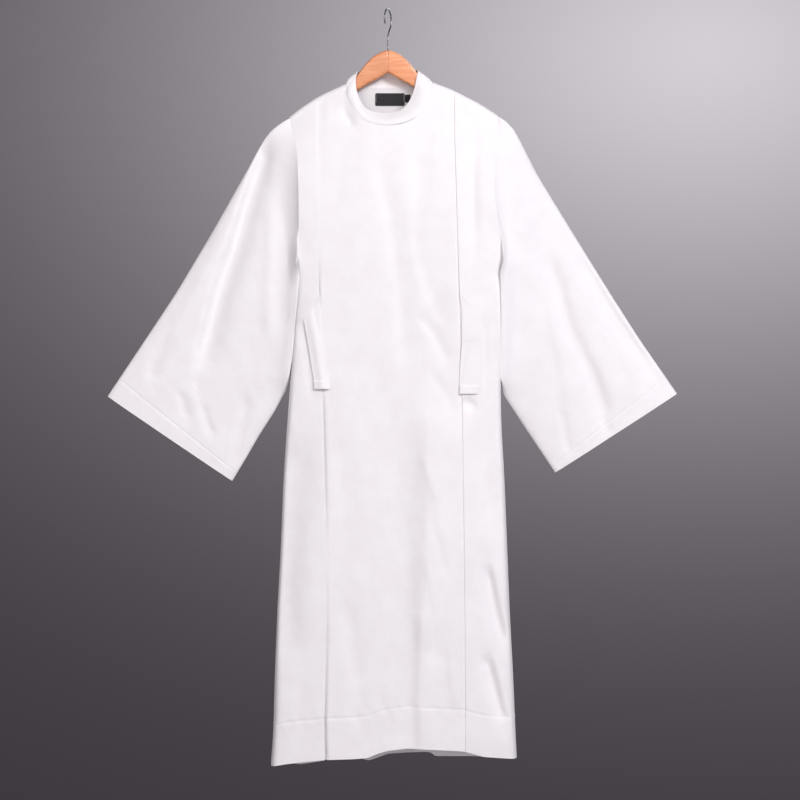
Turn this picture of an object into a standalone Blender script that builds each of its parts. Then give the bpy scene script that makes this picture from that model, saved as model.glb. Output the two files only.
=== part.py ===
"""A white alb robe with a stand collar, wide sleeves, two front pleats and two belt tabs,
hanging on a wooden hanger with a wire hook.

The origin is the inside top of the hook's loop. +Z is up, the robe's front faces -Y, and +X is the
viewer's right. Sizes are in millimetres and are turned into metres where a mesh is made. Every cloth
panel is a wall between two layers of one body surface, so neighbours follow each other.
"""
import bpy
import numpy as np

METRES = 0.001

# Cloth and seams
WALL = 1.6
HEM_EXTRA = 1.3
HEM_DEEP = 84.0
CUFF_DEEP = 50.0
SEAM = 0.2
PANEL_GAP = 0.3

# Layers, counted outwards from the body surface
UNDER_PLEAT = -4.6
PLEAT_RETURN = 24.0
PLEAT_UNDERLAP = 28.0

# Shoulder ridge over the hanger's arm
RIDGE_RADIUS = 13.4
RIDGE_LEAN = 0.86
SHOULDER_EASE = 85.0

# Neck
NECK_CENTRE = 2.0
NECK_HALF = 91.5
NECK_DROP_FRONT = 93.0
NECK_DROP_BACK = 8.0
NECK_CORNER = 0.8

# Armholes
ARM_BOTTOM = -560.0
ARM_WIDE = 28.0
ARM_CLEAR = 1.0

# Hanger and hook
HANGER_HALF_THICK = 6.0
HANGER_BELOW_RIDGE = 8.1
HANGER_DEEP = 23.0
HANGER_TIP = 219.0
WOOD_TOP = -84.0
WIRE_RADIUS = 1.7
LOOP_RADIUS = 22.0
LOOP_TURN = 72.0


class Table:
    """Rows of numbers with named columns, read along the first column with softened corners."""

    def __init__(self, names, rows):
        values = np.array(rows, dtype=float)
        values = values[np.argsort(values[:, 0])]
        self.columns = dict(zip(names.split(), values.T))
        self.key = values[:, 0]

    def at(self, name, where, ease=12.0):
        steps = np.linspace(-ease, ease, 5)
        where = np.asarray(where, dtype=float)
        return np.mean([np.interp(where + step, self.key, self.columns[name]) for step in steps], axis=0)


BODY = Table("height left right front back", (
    (-100, 208, 231, 50, 40),
    (-231, 208, 231, 54, 42),
    (-262, 198, 228, 55, 43),
    (-300, 189, 225, 57, 44),
    (-357, 187, 221, 59, 45),
    (-410, 188, 224, 60, 45),
    (-470, 189, 233, 59, 44),
    (-540, 190, 240, 58, 43),
    (-640, 195, 243, 56, 42),
    (-735, 202, 240, 54, 41),
    (-800, 206, 236, 54, 41),
    (-880, 212, 238, 55, 42),
    (-980, 216, 242, 56, 43),
    (-1130, 217, 248, 57, 44),
    (-1260, 223, 253, 58, 46),
    (-1390, 229, 260, 60, 48),
    (-1510, 233, 265, 61, 50),
    (-1590, 240, 269, 62, 51),
))

RIDGE = Table("across height", (
    (-222, -237),
    (-208, -226),
    (-195, -215),
    (-168, -195.5),
    (-144, -181),
    (-126, -172),
    (-93, -157),
    (-60, -139),
    (0, -122),
    (60, -135),
    (93, -151.5),
    (131, -165.5),
    (153, -176.5),
    (194, -198),
    (231, -222),
    (251, -234),
))

PLEATS = Table("height left right", (
    (-150, -151, 141),
    (-315, -149, 140),
    (-462, -147, 145),
    (-605, -141, 150),
    (-804, -135, 156),
    (-990, -131, 158),
    (-1126, -128, 160),
    (-1312, -130, 161),
    (-1474, -134, 162),
    (-1580, -133, 162),
))

# Hem heights; the back hangs lower than the front in places
HEM = Table("across front back", (
    (-244, -1581, -1581),
    (-213, -1575, -1587),
    (-185, -1571, -1592),
    (-142, -1566, -1586),
    (-120, -1565, -1574),
    (-68, -1563, -1575),
    (-42, -1561, -1585),
    (-21, -1552, -1578),
    (0, -1546, -1570),
    (42, -1541, -1567),
    (92, -1544, -1566),
    (102, -1544, -1575),
    (157, -1547, -1575),
    (197, -1558, -1575),
    (262, -1564, -1573),
    (271, -1565, -1567),
))

# Folds of the front: where each starts and ends, seen from the front, how wide and how deep it is
FRONT_FOLDS = (
    ("centre_ridge", ((44, -830), (57, -990), (59, -1260), (54, -1400), (58, -1545)), 15, 7.0),
    ("chest_valley", ((-27, -298), (0, -418), (21, -540), (40, -804)), 26, -5.0),
    ("collar_valley", ((44, -265), (62, -346), (60, -481), (84, -600)), 18, -3.0),
    ("waist_drag", ((59, -640), (97, -690), (124, -760)), 14, -3.5),
    ("right_side_fold", ((183, -250), (177, -350), (180, -560)), 15, -4.0),
    ("left_skirt_fold", ((-170, -880), (-171, -1100), (-168, -1340)), 13, -5.0),
    ("low_left_valley", ((-92, -1210), (-72, -1310), (-60, -1450)), 20, -4.0),
    ("low_right_ridge", ((98, -950), (104, -1150), (96, -1400)), 16, 3.5),
    ("right_skirt_fold", ((196, -1180), (222, -1330), (226, -1480)), 15, -4.0),
)
BACK_FOLDS = (
    ("back_centre_valley", ((6, -215), (-8, -500), (4, -900), (-6, -1300)), 24, -6.0),
    ("back_left_ridge", ((-96, -640), (-104, -980), (-92, -1500)), 20, 6.0),
    ("back_right_ridge", ((92, -560), (112, -900), (104, -1500)), 20, 6.0),
    ("back_right_valley", ((168, -700), (176, -1040), (170, -1460)), 16, -5.0),
    ("back_left_valley", ((-160, -820), (-150, -1150), (-162, -1480)), 16, -5.0),
    ("back_shoulder_drag", ((-150, -260), (-80, -340), (-30, -460)), 18, -3.5),
)
SLEEVE_FOLDS = (
    ("left_trough", ((-262, -340), (-304, -489), (-365, -700)), 24, -7.0),
    ("left_inner_ridge", ((-240, -380), (-240, -560), (-250, -730)), 16, 5.0),
    ("left_cuff_valley", ((-292, -800), (-322, -955)), 14, -4.0),
    ("left_cuff_dimple", ((-400, -690), (-430, -850)), 16, -3.0),
    ("right_trough", ((320, -470), (353, -575), (382, -675), (432, -775), (460, -880)), 22, -7.0),
    ("right_edge_valley", ((400, -520), (475, -650), (570, -780)), 16, -4.0),
    ("right_inner_ridge", ((272, -400), (282, -560), (298, -740)), 16, 4.0),
)

# Sleeve edges: share of the way from armhole to cuff, then the top edge and the under edge
LEFT_SLEEVE = Table("share top_x top_z under_x under_z deep", (
    (0.000, -208.7, -226, -190, -560, 27),
    (0.025, -222, -235, -193, -585, 29),
    (0.060, -243, -251, -197, -620, 30),
    (0.090, -258, -270, -201, -650, 30),
    (0.210, -301, -346, -212, -765, 28),
    (0.280, -325, -389, -219, -806, 26),
    (0.417, -372, -472, -240, -846, 24),
    (0.627, -447, -598, -271, -894, 21),
    (0.789, -510, -693, -295, -936, 19),
    (1.000, -592, -816, -328, -991, 17),
))
RIGHT_SLEEVE = Table("share top_x top_z under_x under_z deep", (
    (0.000, 231.7, -222, 244, -560, 27),
    (0.034, 251, -236, 246, -585, 29),
    (0.060, 260, -248, 247, -620, 30),
    (0.090, 277, -276, 247, -650, 30),
    (0.200, 313, -346, 245, -765, 28),
    (0.270, 336, -384, 248, -806, 26),
    (0.400, 390, -472, 269, -842, 24),
    (0.610, 468, -598, 296, -887, 21),
    (0.775, 529, -693, 320, -925, 19),
    (1.000, 610, -810, 352, -973, 17),
))

# Top edge of the collar: angle round the neck from the front centre, then the place
COLLAR_TOP = Table("angle x y z", (
    (-180, 1, 21, -127),
    (-145, -34, 19, -126),
    (-115, -56, 12, -126),
    (-98, -63, 4, -127),
    (-88, -65, -3, -130),
    (-76, -67, -10, -140),
    (-60, -68, -14, -158),
    (-48, -65, -16, -176),
    (-35, -54, -19, -202),
    (-22, -40, -20, -214),
    (-8, -15, -21, -219),
    (6, 6, -21, -220),
    (18, 22, -20, -216),
    (30, 35, -19, -207),
    (42, 45, -17, -194),
    (55, 53, -15, -176),
    (68, 58, -13, -157),
    (78, 61, -10, -140),
    (88, 64, -3, -129),
    (98, 64, 4, -125),
    (115, 57, 12, -125),
    (145, 35, 19, -126),
    (180, 1, 21, -127),
))
# Angles round the neck, shared by the collar and the front panel's neckline
QUARTER_ANGLES = np.array([0, 18, 36, 54, 70, 80, 85, 88, 90], dtype=float)
NECK_ANGLES = np.concatenate([-QUARTER_ANGLES[:0:-1], QUARTER_ANGLES])
BACK_ANGLES = np.array([108, 126, 144, 162, 180, 198, 216, 234, 252], dtype=float)
COLLAR_ANGLES = np.concatenate([QUARTER_ANGLES[1:], BACK_ANGLES, NECK_ANGLES[:11] + 360.0])
COLLAR_INSET = 1.9
COLLAR_HALF_WALL = 1.2
COLLAR_LAP = 2.9

# Hanger's upper and lower edge inside the neck, by distance from the middle
HANGER_HUMP = Table("out top bottom", (
    (0, -84, -132),
    (10, -86, -138),
    (26, -94, -147),
    (41, -106, -155),
    (57, -126, -165),
    (65, -138, -170),
    (78, -154, -178),
    (92, -168, -188),
))

# Belt tabs: height, then left and right edge
LEFT_TAB = Table("height left right", (
    (-600, -176, -139),
    (-652, -175, -138),
    (-690, -168, -133),
    (-738, -160, -128),
    (-777, -154, -121),
    (-800, -152, -120),
))
RIGHT_TAB = Table("height left right", (
    (-606, 149, 190),
    (-630, 154, 193),
    (-690, 154, 196),
    (-722, 152, 196),
    (-770, 149, 195),
    (-808, 149, 193),
))
TAB_LAYERS = (2.3, 0.5)
LABEL_LAYERS = (-2.5, -3.5)

CLOTH = (0.86, 0.85, 0.88)
LABEL_BLACK = (0.012, 0.012, 0.014)
WOOD = (0.78, 0.42, 0.22)
METAL = (0.55, 0.55, 0.57)


def smooth(value):
    """Step from 0 to 1 with level ends, for a value from 0 to 1."""
    value = np.clip(value, 0.0, 1.0)
    return value * value * (3.0 - 2.0 * value)


def fold_height(x, z, folds):
    """Sum of soft ridges and valleys: each falls off as a bell with the distance from its path."""
    total = np.zeros(np.broadcast(x, z).shape)
    for _name, path, width, height in folds:
        nearest = np.full(total.shape, np.inf)
        fade = np.zeros(total.shape)
        spans = len(path) - 1
        for index in range(spans):
            (x0, z0), (x1, z1) = path[index], path[index + 1]
            length = (x1 - x0) ** 2 + (z1 - z0) ** 2
            share = np.clip(((x - x0) * (x1 - x0) + (z - z0) * (z1 - z0)) / length, 0.0, 1.0)
            away = np.hypot(x - x0 - share * (x1 - x0), z - z0 - share * (z1 - z0))
            closer = away < nearest
            nearest = np.where(closer, away, nearest)
            fade = np.where(closer, (index + share) / spans, fade)
        ends = smooth(fade * 5.0) * smooth((1.0 - fade) * 5.0) * 0.85 + 0.15
        total += height * ends * np.exp(-((nearest / width) ** 2))
    return total


def side_edge(x, z):
    """Distance from the middle to the body's side edge, on the side where x lies."""
    return np.where(x < 0, BODY.at("left", z, 25.0), BODY.at("right", z, 25.0))


def armhole_half_gap(x, z):
    """Half of the armhole's opening front to back: a drop shape, wide near its top."""
    top = RIDGE.at("height", x)
    share = np.clip((top - z) / (top - ARM_BOTTOM), 0.0, 1.0)
    return 2.0 * ARM_WIDE * share ** 0.35 * (1.0 - share) ** 0.75


def body_y(x, z, layer, face):
    """Depth of the body's cloth at (x, z): a rounded ridge over the hanger that eases out to the
    full depth below it, closing to the side edges as a flattened oval, with the folds added.
    face is -1 in front and +1 behind; layer moves the cloth outwards."""
    above = RIDGE_RADIUS - (RIDGE.at("height", x) - z) * RIDGE_LEAN
    ridge = np.sqrt(np.clip((RIDGE_RADIUS + layer) ** 2 - np.clip(above, 0.0, None) ** 2, 0.0, None))
    full = BODY.at("front" if face < 0 else "back", z)
    depth = ridge + (full - RIDGE_RADIUS) * (1.0 - np.exp(np.minimum(above, 0.0) / SHOULDER_EASE))
    across = np.clip(np.abs(x) / (side_edge(x, z) + layer), 0.0, 1.0)
    crown = (1.0 - across ** 2) ** 0.4
    edge = np.minimum(armhole_half_gap(x, z), 0.97 * depth)
    folds = fold_height(x, z, FRONT_FOLDS if face < 0 else BACK_FOLDS)
    folds = folds * crown * smooth(-above / 60.0)
    return face * (edge + (depth - edge) * crown + folds + SEAM)


def neck_z(x, face):
    """Height of the neckline: a rounded dip below the ends of the shoulder ridges."""
    share = np.clip((x - NECK_CENTRE) / NECK_HALF, -1.0, 1.0)
    drop = NECK_DROP_FRONT if face < 0 else NECK_DROP_BACK
    left_end, right_end = RIDGE.at("height", NECK_CENTRE + NECK_HALF * np.array([-1.0, 1.0]))
    ends = left_end + (right_end - left_end) * (share + 1.0) / 2.0
    round_dip = 0.375 if face < 0 else 1.0
    return ends - drop * (1.0 - share ** 2) ** round_dip


def panel_top(x, layer, face):
    """Upper edge of a body panel: the neckline inside the collar, the shoulder ridge outside it."""
    in_neck = np.abs(x - NECK_CENTRE) < NECK_HALF
    return np.where(in_neck, neck_z(x, face) + layer * 0.2, RIDGE.at("height", x) + layer / RIDGE_LEAN)


def hem_z(x, face):
    """Height of the hem at x, in front or behind."""
    return HEM.at("front" if face < 0 else "back", x, 8.0)


def panel_rows():
    """Shares of the way from a panel's upper edge to its hem: close together over the ridge."""
    length = 1345.0
    ridge = RIDGE_RADIUS * (1.0 - np.cos(np.radians(np.linspace(0.0, 90.0, 4)))) / RIDGE_LEAN
    steps = np.linspace(0.0, 1.0, 20)[1:] ** 1.25
    down = ridge[-1] + (length - HEM_DEEP - 3.0 - ridge[-1]) * steps
    return np.concatenate([ridge, down, [length - HEM_DEEP + 3.0, length - 40.0, length]]) / length


def panel_layer(columns_x, columns_layer, z_start, face, hem_extra):
    """One face of a panel's wall: a grid of points whose columns have their own x and layer."""
    rows = panel_rows()[:, None]
    z = np.full((1, 1), z_start)
    for _again in range(4):
        x = columns_x(z)
        layer = columns_layer(x, z)
        z = panel_top(x, layer, face)
    top = z
    x_hem = columns_x(np.full_like(top, -1570.0))
    z = top + (hem_z(x_hem, face) - top) * rows
    x = columns_x(z)
    layer = columns_layer(x, z)
    layer = layer - hem_extra * smooth((hem_z(x, face) + HEM_DEEP + 3.0 - z) / 6.0)
    return np.stack([x, body_y(x, z, layer, face), z], axis=-1)


def split_quads(quads, points):
    """Two triangles for each quad, its diagonal falling from the upper left to the lower right, so
    that layers lying on each other have the same facets."""
    first, second, third, fourth = quads.T
    falls = (points[second, 0] > points[first, 0])[:, None]
    upper = np.where(falls, np.stack([first, second, third], axis=1), np.stack([first, second, fourth], axis=1))
    lower = np.where(falls, np.stack([first, third, fourth], axis=1), np.stack([second, third, fourth], axis=1))
    return np.concatenate([upper, lower])


def wall_mesh(name, outer, inner, round_tube=False):
    """Closed solid between two grids of points; a tube is closed across its columns."""
    rows, columns = outer.shape[:2]
    points = np.concatenate([outer.reshape(-1, 3), inner.reshape(-1, 3)]) * METRES
    index = np.arange(rows * columns).reshape(rows, columns)
    if round_tube:
        index = np.concatenate([index, index[:, :1]], axis=1)
    below = index + rows * columns
    sheets = []
    for grid, turned in ((index, False), (below, True)):
        quads = np.stack([grid[:-1, :-1], grid[:-1, 1:], grid[1:, 1:], grid[1:, :-1]], axis=-1)
        triangles = split_quads(quads.reshape(-1, 4), points)
        sheets.append(triangles[:, ::-1] if turned else triangles)
    rims = [(index[0], below[0]), (index[-1][::-1], below[-1][::-1])]
    if not round_tube:
        rims += [(index[::-1, 0], below[::-1, 0]), (index[:, -1], below[:, -1])]
    for near, far in rims:
        sheets.append(np.stack([near[1:], near[:-1], far[:-1]], axis=-1))
        sheets.append(np.stack([near[1:], far[:-1], far[1:]], axis=-1))
    mesh = bpy.data.meshes.new(name)
    mesh.from_pydata(points.tolist(), [], np.concatenate(sheets).tolist())
    mesh.update()
    return mesh


def finish(mesh, material, smooth_shaded=True):
    """Object with outward faces from a closed mesh."""
    points = np.empty(len(mesh.vertices) * 3)
    mesh.vertices.foreach_get("co", points)
    points = points.reshape(-1, 3)
    volume = 0.0
    for face in mesh.polygons:
        corners = points[list(face.vertices)]
        for index in range(1, len(corners) - 1):
            volume += np.dot(corners[0], np.cross(corners[index], corners[index + 1]))
    if volume < 0.0:
        mesh.flip_normals()
    if smooth_shaded:
        mesh.shade_smooth()
        mesh.set_sharp_from_angle(angle=np.radians(50.0))
    mesh.materials.append(material)
    part = bpy.data.objects.new(mesh.name, mesh)
    bpy.context.collection.objects.link(part)
    return part


def material(name, colour, roughness, metallic=0.0):
    """Principled material with one colour."""
    made = bpy.data.materials.new(name)
    made.use_nodes = True
    shader = made.node_tree.nodes["Principled BSDF"]
    shader.inputs["Base Color"].default_value = (*colour, 1.0)
    shader.inputs["Roughness"].default_value = roughness
    shader.inputs["Metallic"].default_value = metallic
    return made


def front_centre(cloth):
    """Front centre panel. It lies under the two side panels at the pleats and rises to their level
    at the shoulder and neck."""
    neck = NECK_CENTRE + NECK_HALF * np.sin(np.radians(NECK_ANGLES))
    neck[[0, -1]] += (-NECK_CORNER, NECK_CORNER)
    middle = np.concatenate([[neck[0] - 8.0], neck, [neck[-1] + 8.0]])
    even = np.linspace(0.0, 1.0, len(middle) + 2)[1:-1]
    beside_pleat = np.array([-PLEAT_UNDERLAP, -PLEAT_RETURN / 2.0, 0.0, 6.0, 28.0])

    def columns_x(z):
        left = PLEATS.at("left", z)[..., :1] + beside_pleat
        right = PLEATS.at("right", z)[..., :1] - beside_pleat[::-1]
        low = left[..., -1:] + even * (right[..., :1] - left[..., -1:])
        blend = smooth((-200.0 - z[..., :1]) / 400.0)
        return np.concatenate([left, middle + (low - middle) * blend, right], axis=-1)

    def lift(x, z):
        inside = np.minimum(x - PLEATS.at("left", z), PLEATS.at("right", z) - x)
        near_top = np.exp(-(((RIDGE.at("height", x) - z) / 160.0) ** 2))
        return -UNDER_PLEAT * smooth((inside - 6.0) / 22.0) * near_top

    outer = panel_layer(columns_x, lambda x, z: UNDER_PLEAT + lift(x, z), -200.0, -1, 0.0)
    inner = panel_layer(columns_x, lambda x, z: UNDER_PLEAT - WALL + lift(x, z), -200.0, -1, HEM_EXTRA)
    return finish(wall_mesh("front_centre", outer, inner), cloth)


def front_side(name, side, cloth):
    """Front side panel from the side seam to the pleat, where it folds under and returns."""
    pleat = "left" if side < 0 else "right"
    spread = 1.0 - np.cos(np.radians(np.linspace(0.0, 90.0, 6)))
    half_return = PLEAT_RETURN / 2.0

    def wall_face(turns, main_layer):
        past = np.array([-half_return, 0.0] + [turn[0] for turn in turns] + [0.0, -half_return, -PLEAT_RETURN])
        last = turns[-1][1] + (turns[0][1] - main_layer)
        layers = np.array([main_layer] * 8 + [turn[1] for turn in turns] + [last] * 3)

        def columns_x(z):
            edge = side * (side_edge(np.full_like(z, side), z) + main_layer)[..., :1]
            fold = PLEATS.at(pleat, z)[..., :1]
            main = edge + spread * (fold + side * PLEAT_RETURN - edge)
            return np.concatenate([main, fold - side * past], axis=-1)

        return panel_layer(columns_x, lambda x, z: layers + 0.0 * x, -220.0, -1, 0.0)

    outer = wall_face(((1.2, -0.55), (1.9, -1.9), (1.2, -3.25)), 0.0)
    inner = wall_face(((0.1, -1.7), (0.3, -1.9), (0.1, -2.1)), -WALL)
    return finish(wall_mesh(name, outer, inner), cloth)


def back_panel(cloth):
    """Back panel from side seam to side seam."""
    neck = NECK_CENTRE + NECK_HALF * np.array([-1.0, -0.95, -0.8, -0.4, 0.0, 0.4, 0.8, 0.95, 1.0])
    spread = (1.0 - np.cos(np.radians(np.linspace(0.0, 180.0, 21)))) / 2.0

    def columns(layer_value):
        def columns_x(z):
            left = -(side_edge(np.full_like(z, -1.0), z) + layer_value)
            right = side_edge(np.full_like(z, 1.0), z) + layer_value
            even = left + spread * (right - left)
            at_top = np.concatenate([
                even[..., :6], np.broadcast_to(neck, even[..., :9].shape), even[..., 15:]], axis=-1)
            share = smooth((-170.0 - z) / 300.0)
            return at_top + (even - at_top) * share
        return columns_x

    outer = panel_layer(columns(0.0), lambda x, z: 0.0 * x, -190.0, 1, 0.0)
    inner = panel_layer(columns(-WALL), lambda x, z: 0.0 * x - WALL, -190.0, 1, HEM_EXTRA)
    return finish(wall_mesh("back", outer, inner), cloth)


def sleeve_ring(table, side, shares, wall):
    """Rings of a sleeve. Each runs down the front layer from the top edge to the under edge and back
    up the rear layer; the first follows the armhole and the later ones are flattened ovals."""
    turn = np.linspace(0.0, 2.0 * np.pi, 26, endpoint=False)
    along = (1.0 - np.cos(turn)) / 2.0
    swell = np.abs(np.sin(turn)) ** 0.7
    face = np.where(turn < np.pi, -1.0, 1.0)
    share = shares[:, None]
    top_x, top_z, under_x, under_z, deep = (
        table.at(name, share, 0.01) for name in ("top_x", "top_z", "under_x", "under_z", "deep"))
    length = np.hypot(under_x - top_x, under_z - top_z)
    inset = wall / length
    down = inset + along * (1.0 - 2.0 * inset)
    x = top_x + down * (under_x - top_x)
    z = top_z + down * (under_z - top_z)
    cuff = smooth((share - 1.0) * 700.0 / CUFF_DEEP + 1.05) if wall else 0.0
    y = face * swell * (deep - wall - cuff * HEM_EXTRA)
    first_z = top_z[0] + down[0] * (under_z[0] - top_z[0])
    first_x = side * (side_edge(np.full_like(first_z, side), first_z) + ARM_CLEAR)
    below = (RIDGE.at("height", first_x) - first_z) * RIDGE_LEAN
    depth = np.sqrt(np.clip(RIDGE_RADIUS ** 2 - np.clip(RIDGE_RADIUS - below, 0.0, None) ** 2, 0.0, None))
    depth = depth + 44.0 * (1.0 - np.exp(np.minimum(RIDGE_RADIUS - below, 0.0) / SHOULDER_EASE))
    gap = np.minimum(armhole_half_gap(first_x, first_z), 0.97 * depth)
    gap = np.minimum(gap, 44.0 * swell)
    first_y = face * np.clip(gap - wall, 0.0, None)
    settle = smooth(share / 0.10)
    x = first_x + (x - first_x) * settle
    y = first_y + (y - first_y) * settle
    z = first_z + (z - first_z) * settle
    clear = side_edge(x, z) + ARM_CLEAR + (4.0 + wall) * smooth(share / 0.05)
    beside_body = z > -800.0
    x = np.where(beside_body, side * np.maximum(side * x, clear), x)
    folds = fold_height(x, z, SLEEVE_FOLDS) * np.abs(np.sin(turn)) * smooth(share / 0.15)
    return np.stack([x, y + face * folds, z], axis=-1)


def sleeve(name, side, cloth):
    """Wide straight sleeve: an open tube from the armhole to the cuff."""
    table = LEFT_SLEEVE if side < 0 else RIGHT_SLEEVE
    shares = np.concatenate([[0.0, 0.02, 0.045, 0.08, 0.12], np.linspace(0.17, 0.92, 10), [0.935, 1.0]])
    outer = sleeve_ring(table, side, shares, 0.0)
    inner = sleeve_ring(table, side, shares, WALL)
    return finish(wall_mesh(name, outer, inner, round_tube=True), cloth)


def collar_face(angles, heights, push):
    """One face of the collar band: straight lines from the neck seam to the collar's top edge, moved
    outwards in plan by push."""
    wrapped = (angles + 180.0) % 360.0 - 180.0
    radians = np.radians(wrapped)
    seam_x = NECK_CENTRE + (NECK_HALF - COLLAR_INSET) * np.sin(radians)
    in_front = np.cos(radians) > 0.0
    panel_x = NECK_CENTRE + NECK_HALF * np.sin(radians)
    seam_z = np.where(in_front, neck_z(panel_x, -1), neck_z(panel_x, 1)) + 0.6
    front_y = body_y(seam_x, seam_z, -0.8, -1)
    back_y = body_y(seam_x, seam_z, -0.8, 1)
    seam_y = np.where(in_front, front_y, back_y)
    top = [COLLAR_TOP.at(name, wrapped, 4.0) for name in ("x", "y", "z")]
    seam = np.stack([seam_x, seam_y, seam_z], axis=-1)
    top = np.stack(top, axis=-1)
    ahead = np.stack([np.roll(seam, -1, axis=0), np.roll(seam, 1, axis=0)])
    along = ahead[0] - ahead[1]
    along[0] = seam[1] - seam[0]
    along[-1] = seam[-1] - seam[-2]
    out = np.stack([-along[:, 1], along[:, 0], 0.0 * along[:, 0]], axis=-1)
    out /= np.linalg.norm(out, axis=1)[:, None]
    toward = np.stack([seam_x - NECK_CENTRE, seam_y, 0.0 * seam_x], axis=-1)
    out *= np.sign(np.sum(out * toward, axis=1))[:, None]
    lap = COLLAR_LAP * smooth((angles - 325.0) / 38.0)
    height = heights[:, None, None]
    face = seam + (top - seam) * height + out * (push + lap)[None, :, None]
    return face


def collar(cloth):
    """Stand collar band whose end laps over its beginning in front."""
    heights = np.array([0.0, 0.5, 1.0])
    outer = collar_face(COLLAR_ANGLES, heights, np.full_like(COLLAR_ANGLES, COLLAR_HALF_WALL))
    inner = collar_face(COLLAR_ANGLES, heights, np.full_like(COLLAR_ANGLES, -COLLAR_HALF_WALL))
    return finish(wall_mesh("collar_band", outer, inner), cloth)


def belt_tab(name, table, top_left, top_right, bottom, cloth):
    """Belt tab lying on the front, with a slanted upper end under the pleat's slit."""
    share = np.linspace(0.0, 1.0, 5)
    rows = np.linspace(0.0, 1.0, 8)[:, None]
    top = top_left + share * (top_right - top_left)
    z = top + (bottom - top) * rows
    left, right = table.at("left", z, 6.0), table.at("right", z, 6.0)
    x = left + share * (right - left)
    faces = [np.stack([x, body_y(x, z, layer, -1), z], axis=-1) for layer in TAB_LAYERS]
    return finish(wall_mesh(name, *faces), cloth)


def label(name, left, right, top, bottom, layers, fabric):
    """Woven label lying on the inside of the back, below the collar seam."""
    x = np.linspace(left, right, 5)[None, :] + np.zeros((3, 1))
    z = np.linspace(top, bottom, 3)[:, None] + np.zeros((1, 5))
    faces = [np.stack([x, body_y(x, z, layer, 1), z], axis=-1) for layer in layers]
    return finish(wall_mesh(name, *faces), fabric)


def hanger_arm(name, side, wood):
    """One half of the wooden hanger: rounded sections from the middle joint to the tip."""
    out = np.concatenate([[0.15, 8.0, 18.0, 29.0, 41.0, 50.0, 58.0, 66.0, 78.0, 92.0], np.linspace(
        112.0, HANGER_TIP - 14.0, 5), [HANGER_TIP - 5.0, HANGER_TIP]])
    on_ridge = RIDGE.at("height", side * out) - HANGER_BELOW_RIDGE
    blend = smooth((out - 86.0) / 10.0)
    top = HANGER_HUMP.at("top", out, 3.0) * (1.0 - blend) + on_ridge * blend
    bottom = HANGER_HUMP.at("bottom", out, 3.0) * (1.0 - blend) + (on_ridge - HANGER_DEEP) * blend
    tip = np.clip((out - HANGER_TIP + 14.0) / 14.0, 0.0, 1.0)
    round_off = 1.0 - np.sqrt(1.0 - 0.75 * tip ** 2)
    half = (top - bottom) / 2.0 * (1.0 - round_off)
    middle = (top + bottom) / 2.0
    turn = np.radians(np.linspace(0.0, 360.0, 12, endpoint=False) + 15.0)
    corner = HANGER_HALF_THICK / RIDGE_LEAN
    y = HANGER_HALF_THICK * np.sin(turn)
    rise = np.cos(turn)
    straight = np.clip(half - corner, 0.5, None)[:, None] * np.sign(rise)
    curved = np.minimum(half, corner)[:, None] * rise
    ring_z = middle[:, None] + straight + curved
    ring_y = y[None, :] * (1.0 - 0.5 * round_off)[:, None]
    ring_x = side * out[:, None] + 0.0 * ring_z
    points = np.stack([ring_x, ring_y, ring_z], axis=-1)
    return finish(ring_mesh(name, points), wood)


def ring_mesh(name, rings):
    """Closed solid through rings of points, with a flat cap at each end."""
    count, around = rings.shape[:2]
    index = np.arange(count * around).reshape(count, around)
    wrapped = np.concatenate([index, index[:, :1]], axis=1)
    quads = np.stack([wrapped[:-1, :-1], wrapped[:-1, 1:], wrapped[1:, 1:], wrapped[1:, :-1]], axis=-1)
    faces = quads.reshape(-1, 4).tolist() + [index[0][::-1].tolist(), index[-1].tolist()]
    mesh = bpy.data.meshes.new(name)
    mesh.from_pydata((rings.reshape(-1, 3) * METRES).tolist(), [], faces)
    mesh.update()
    return mesh


def hook_path():
    """Middle line of the hook's wire: a stem, a bend out of the middle and a loop over the top, in an
    upright plane turned about the stem."""
    centre = -LOOP_RADIUS + WIRE_RADIUS
    stem = np.array([[0.0, WOOD_TOP + PANEL_GAP], [0.0, -72.0], [0.0, -62.0]])
    start = np.radians(-50.0)
    loop_start = np.array([LOOP_RADIUS * np.cos(start), centre + LOOP_RADIUS * np.sin(start)])
    heading = np.array([-np.sin(start), np.cos(start)])
    share = np.linspace(0.0, 1.0, 8)[1:-1, None]
    corners = (stem[-1], stem[-1] + (0.0, 9.0), loop_start - 9.0 * heading, loop_start)
    weights = ((1 - share) ** 3, 3 * share * (1 - share) ** 2, 3 * share ** 2 * (1 - share), share ** 3)
    bend = sum(weight * corner for weight, corner in zip(weights, corners))
    turn = np.linspace(start, np.radians(212.0), 22)[:, None]
    loop = np.concatenate([LOOP_RADIUS * np.cos(turn), centre + LOOP_RADIUS * np.sin(turn)], axis=1)
    flat = np.concatenate([stem, bend, loop])
    plan = np.radians(LOOP_TURN)
    return np.stack([flat[:, 0] * np.cos(plan), flat[:, 0] * np.sin(plan), flat[:, 1]], axis=-1)


def hook(metal):
    """Wire hook: a round section carried along the middle line."""
    path = hook_path()
    along = np.gradient(path, axis=0)
    along /= np.linalg.norm(along, axis=1)[:, None]
    plan = np.radians(LOOP_TURN)
    across = np.array([-np.sin(plan), np.cos(plan), 0.0])
    second = np.cross(along, across)
    turn = np.radians(np.linspace(0.0, 360.0, 8, endpoint=False))[None, :, None]
    rings = path[:, None, :] + WIRE_RADIUS * (np.cos(turn) * across + np.sin(turn) * second[:, None, :])
    return finish(ring_mesh("hanger_hook", rings), metal)


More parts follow.
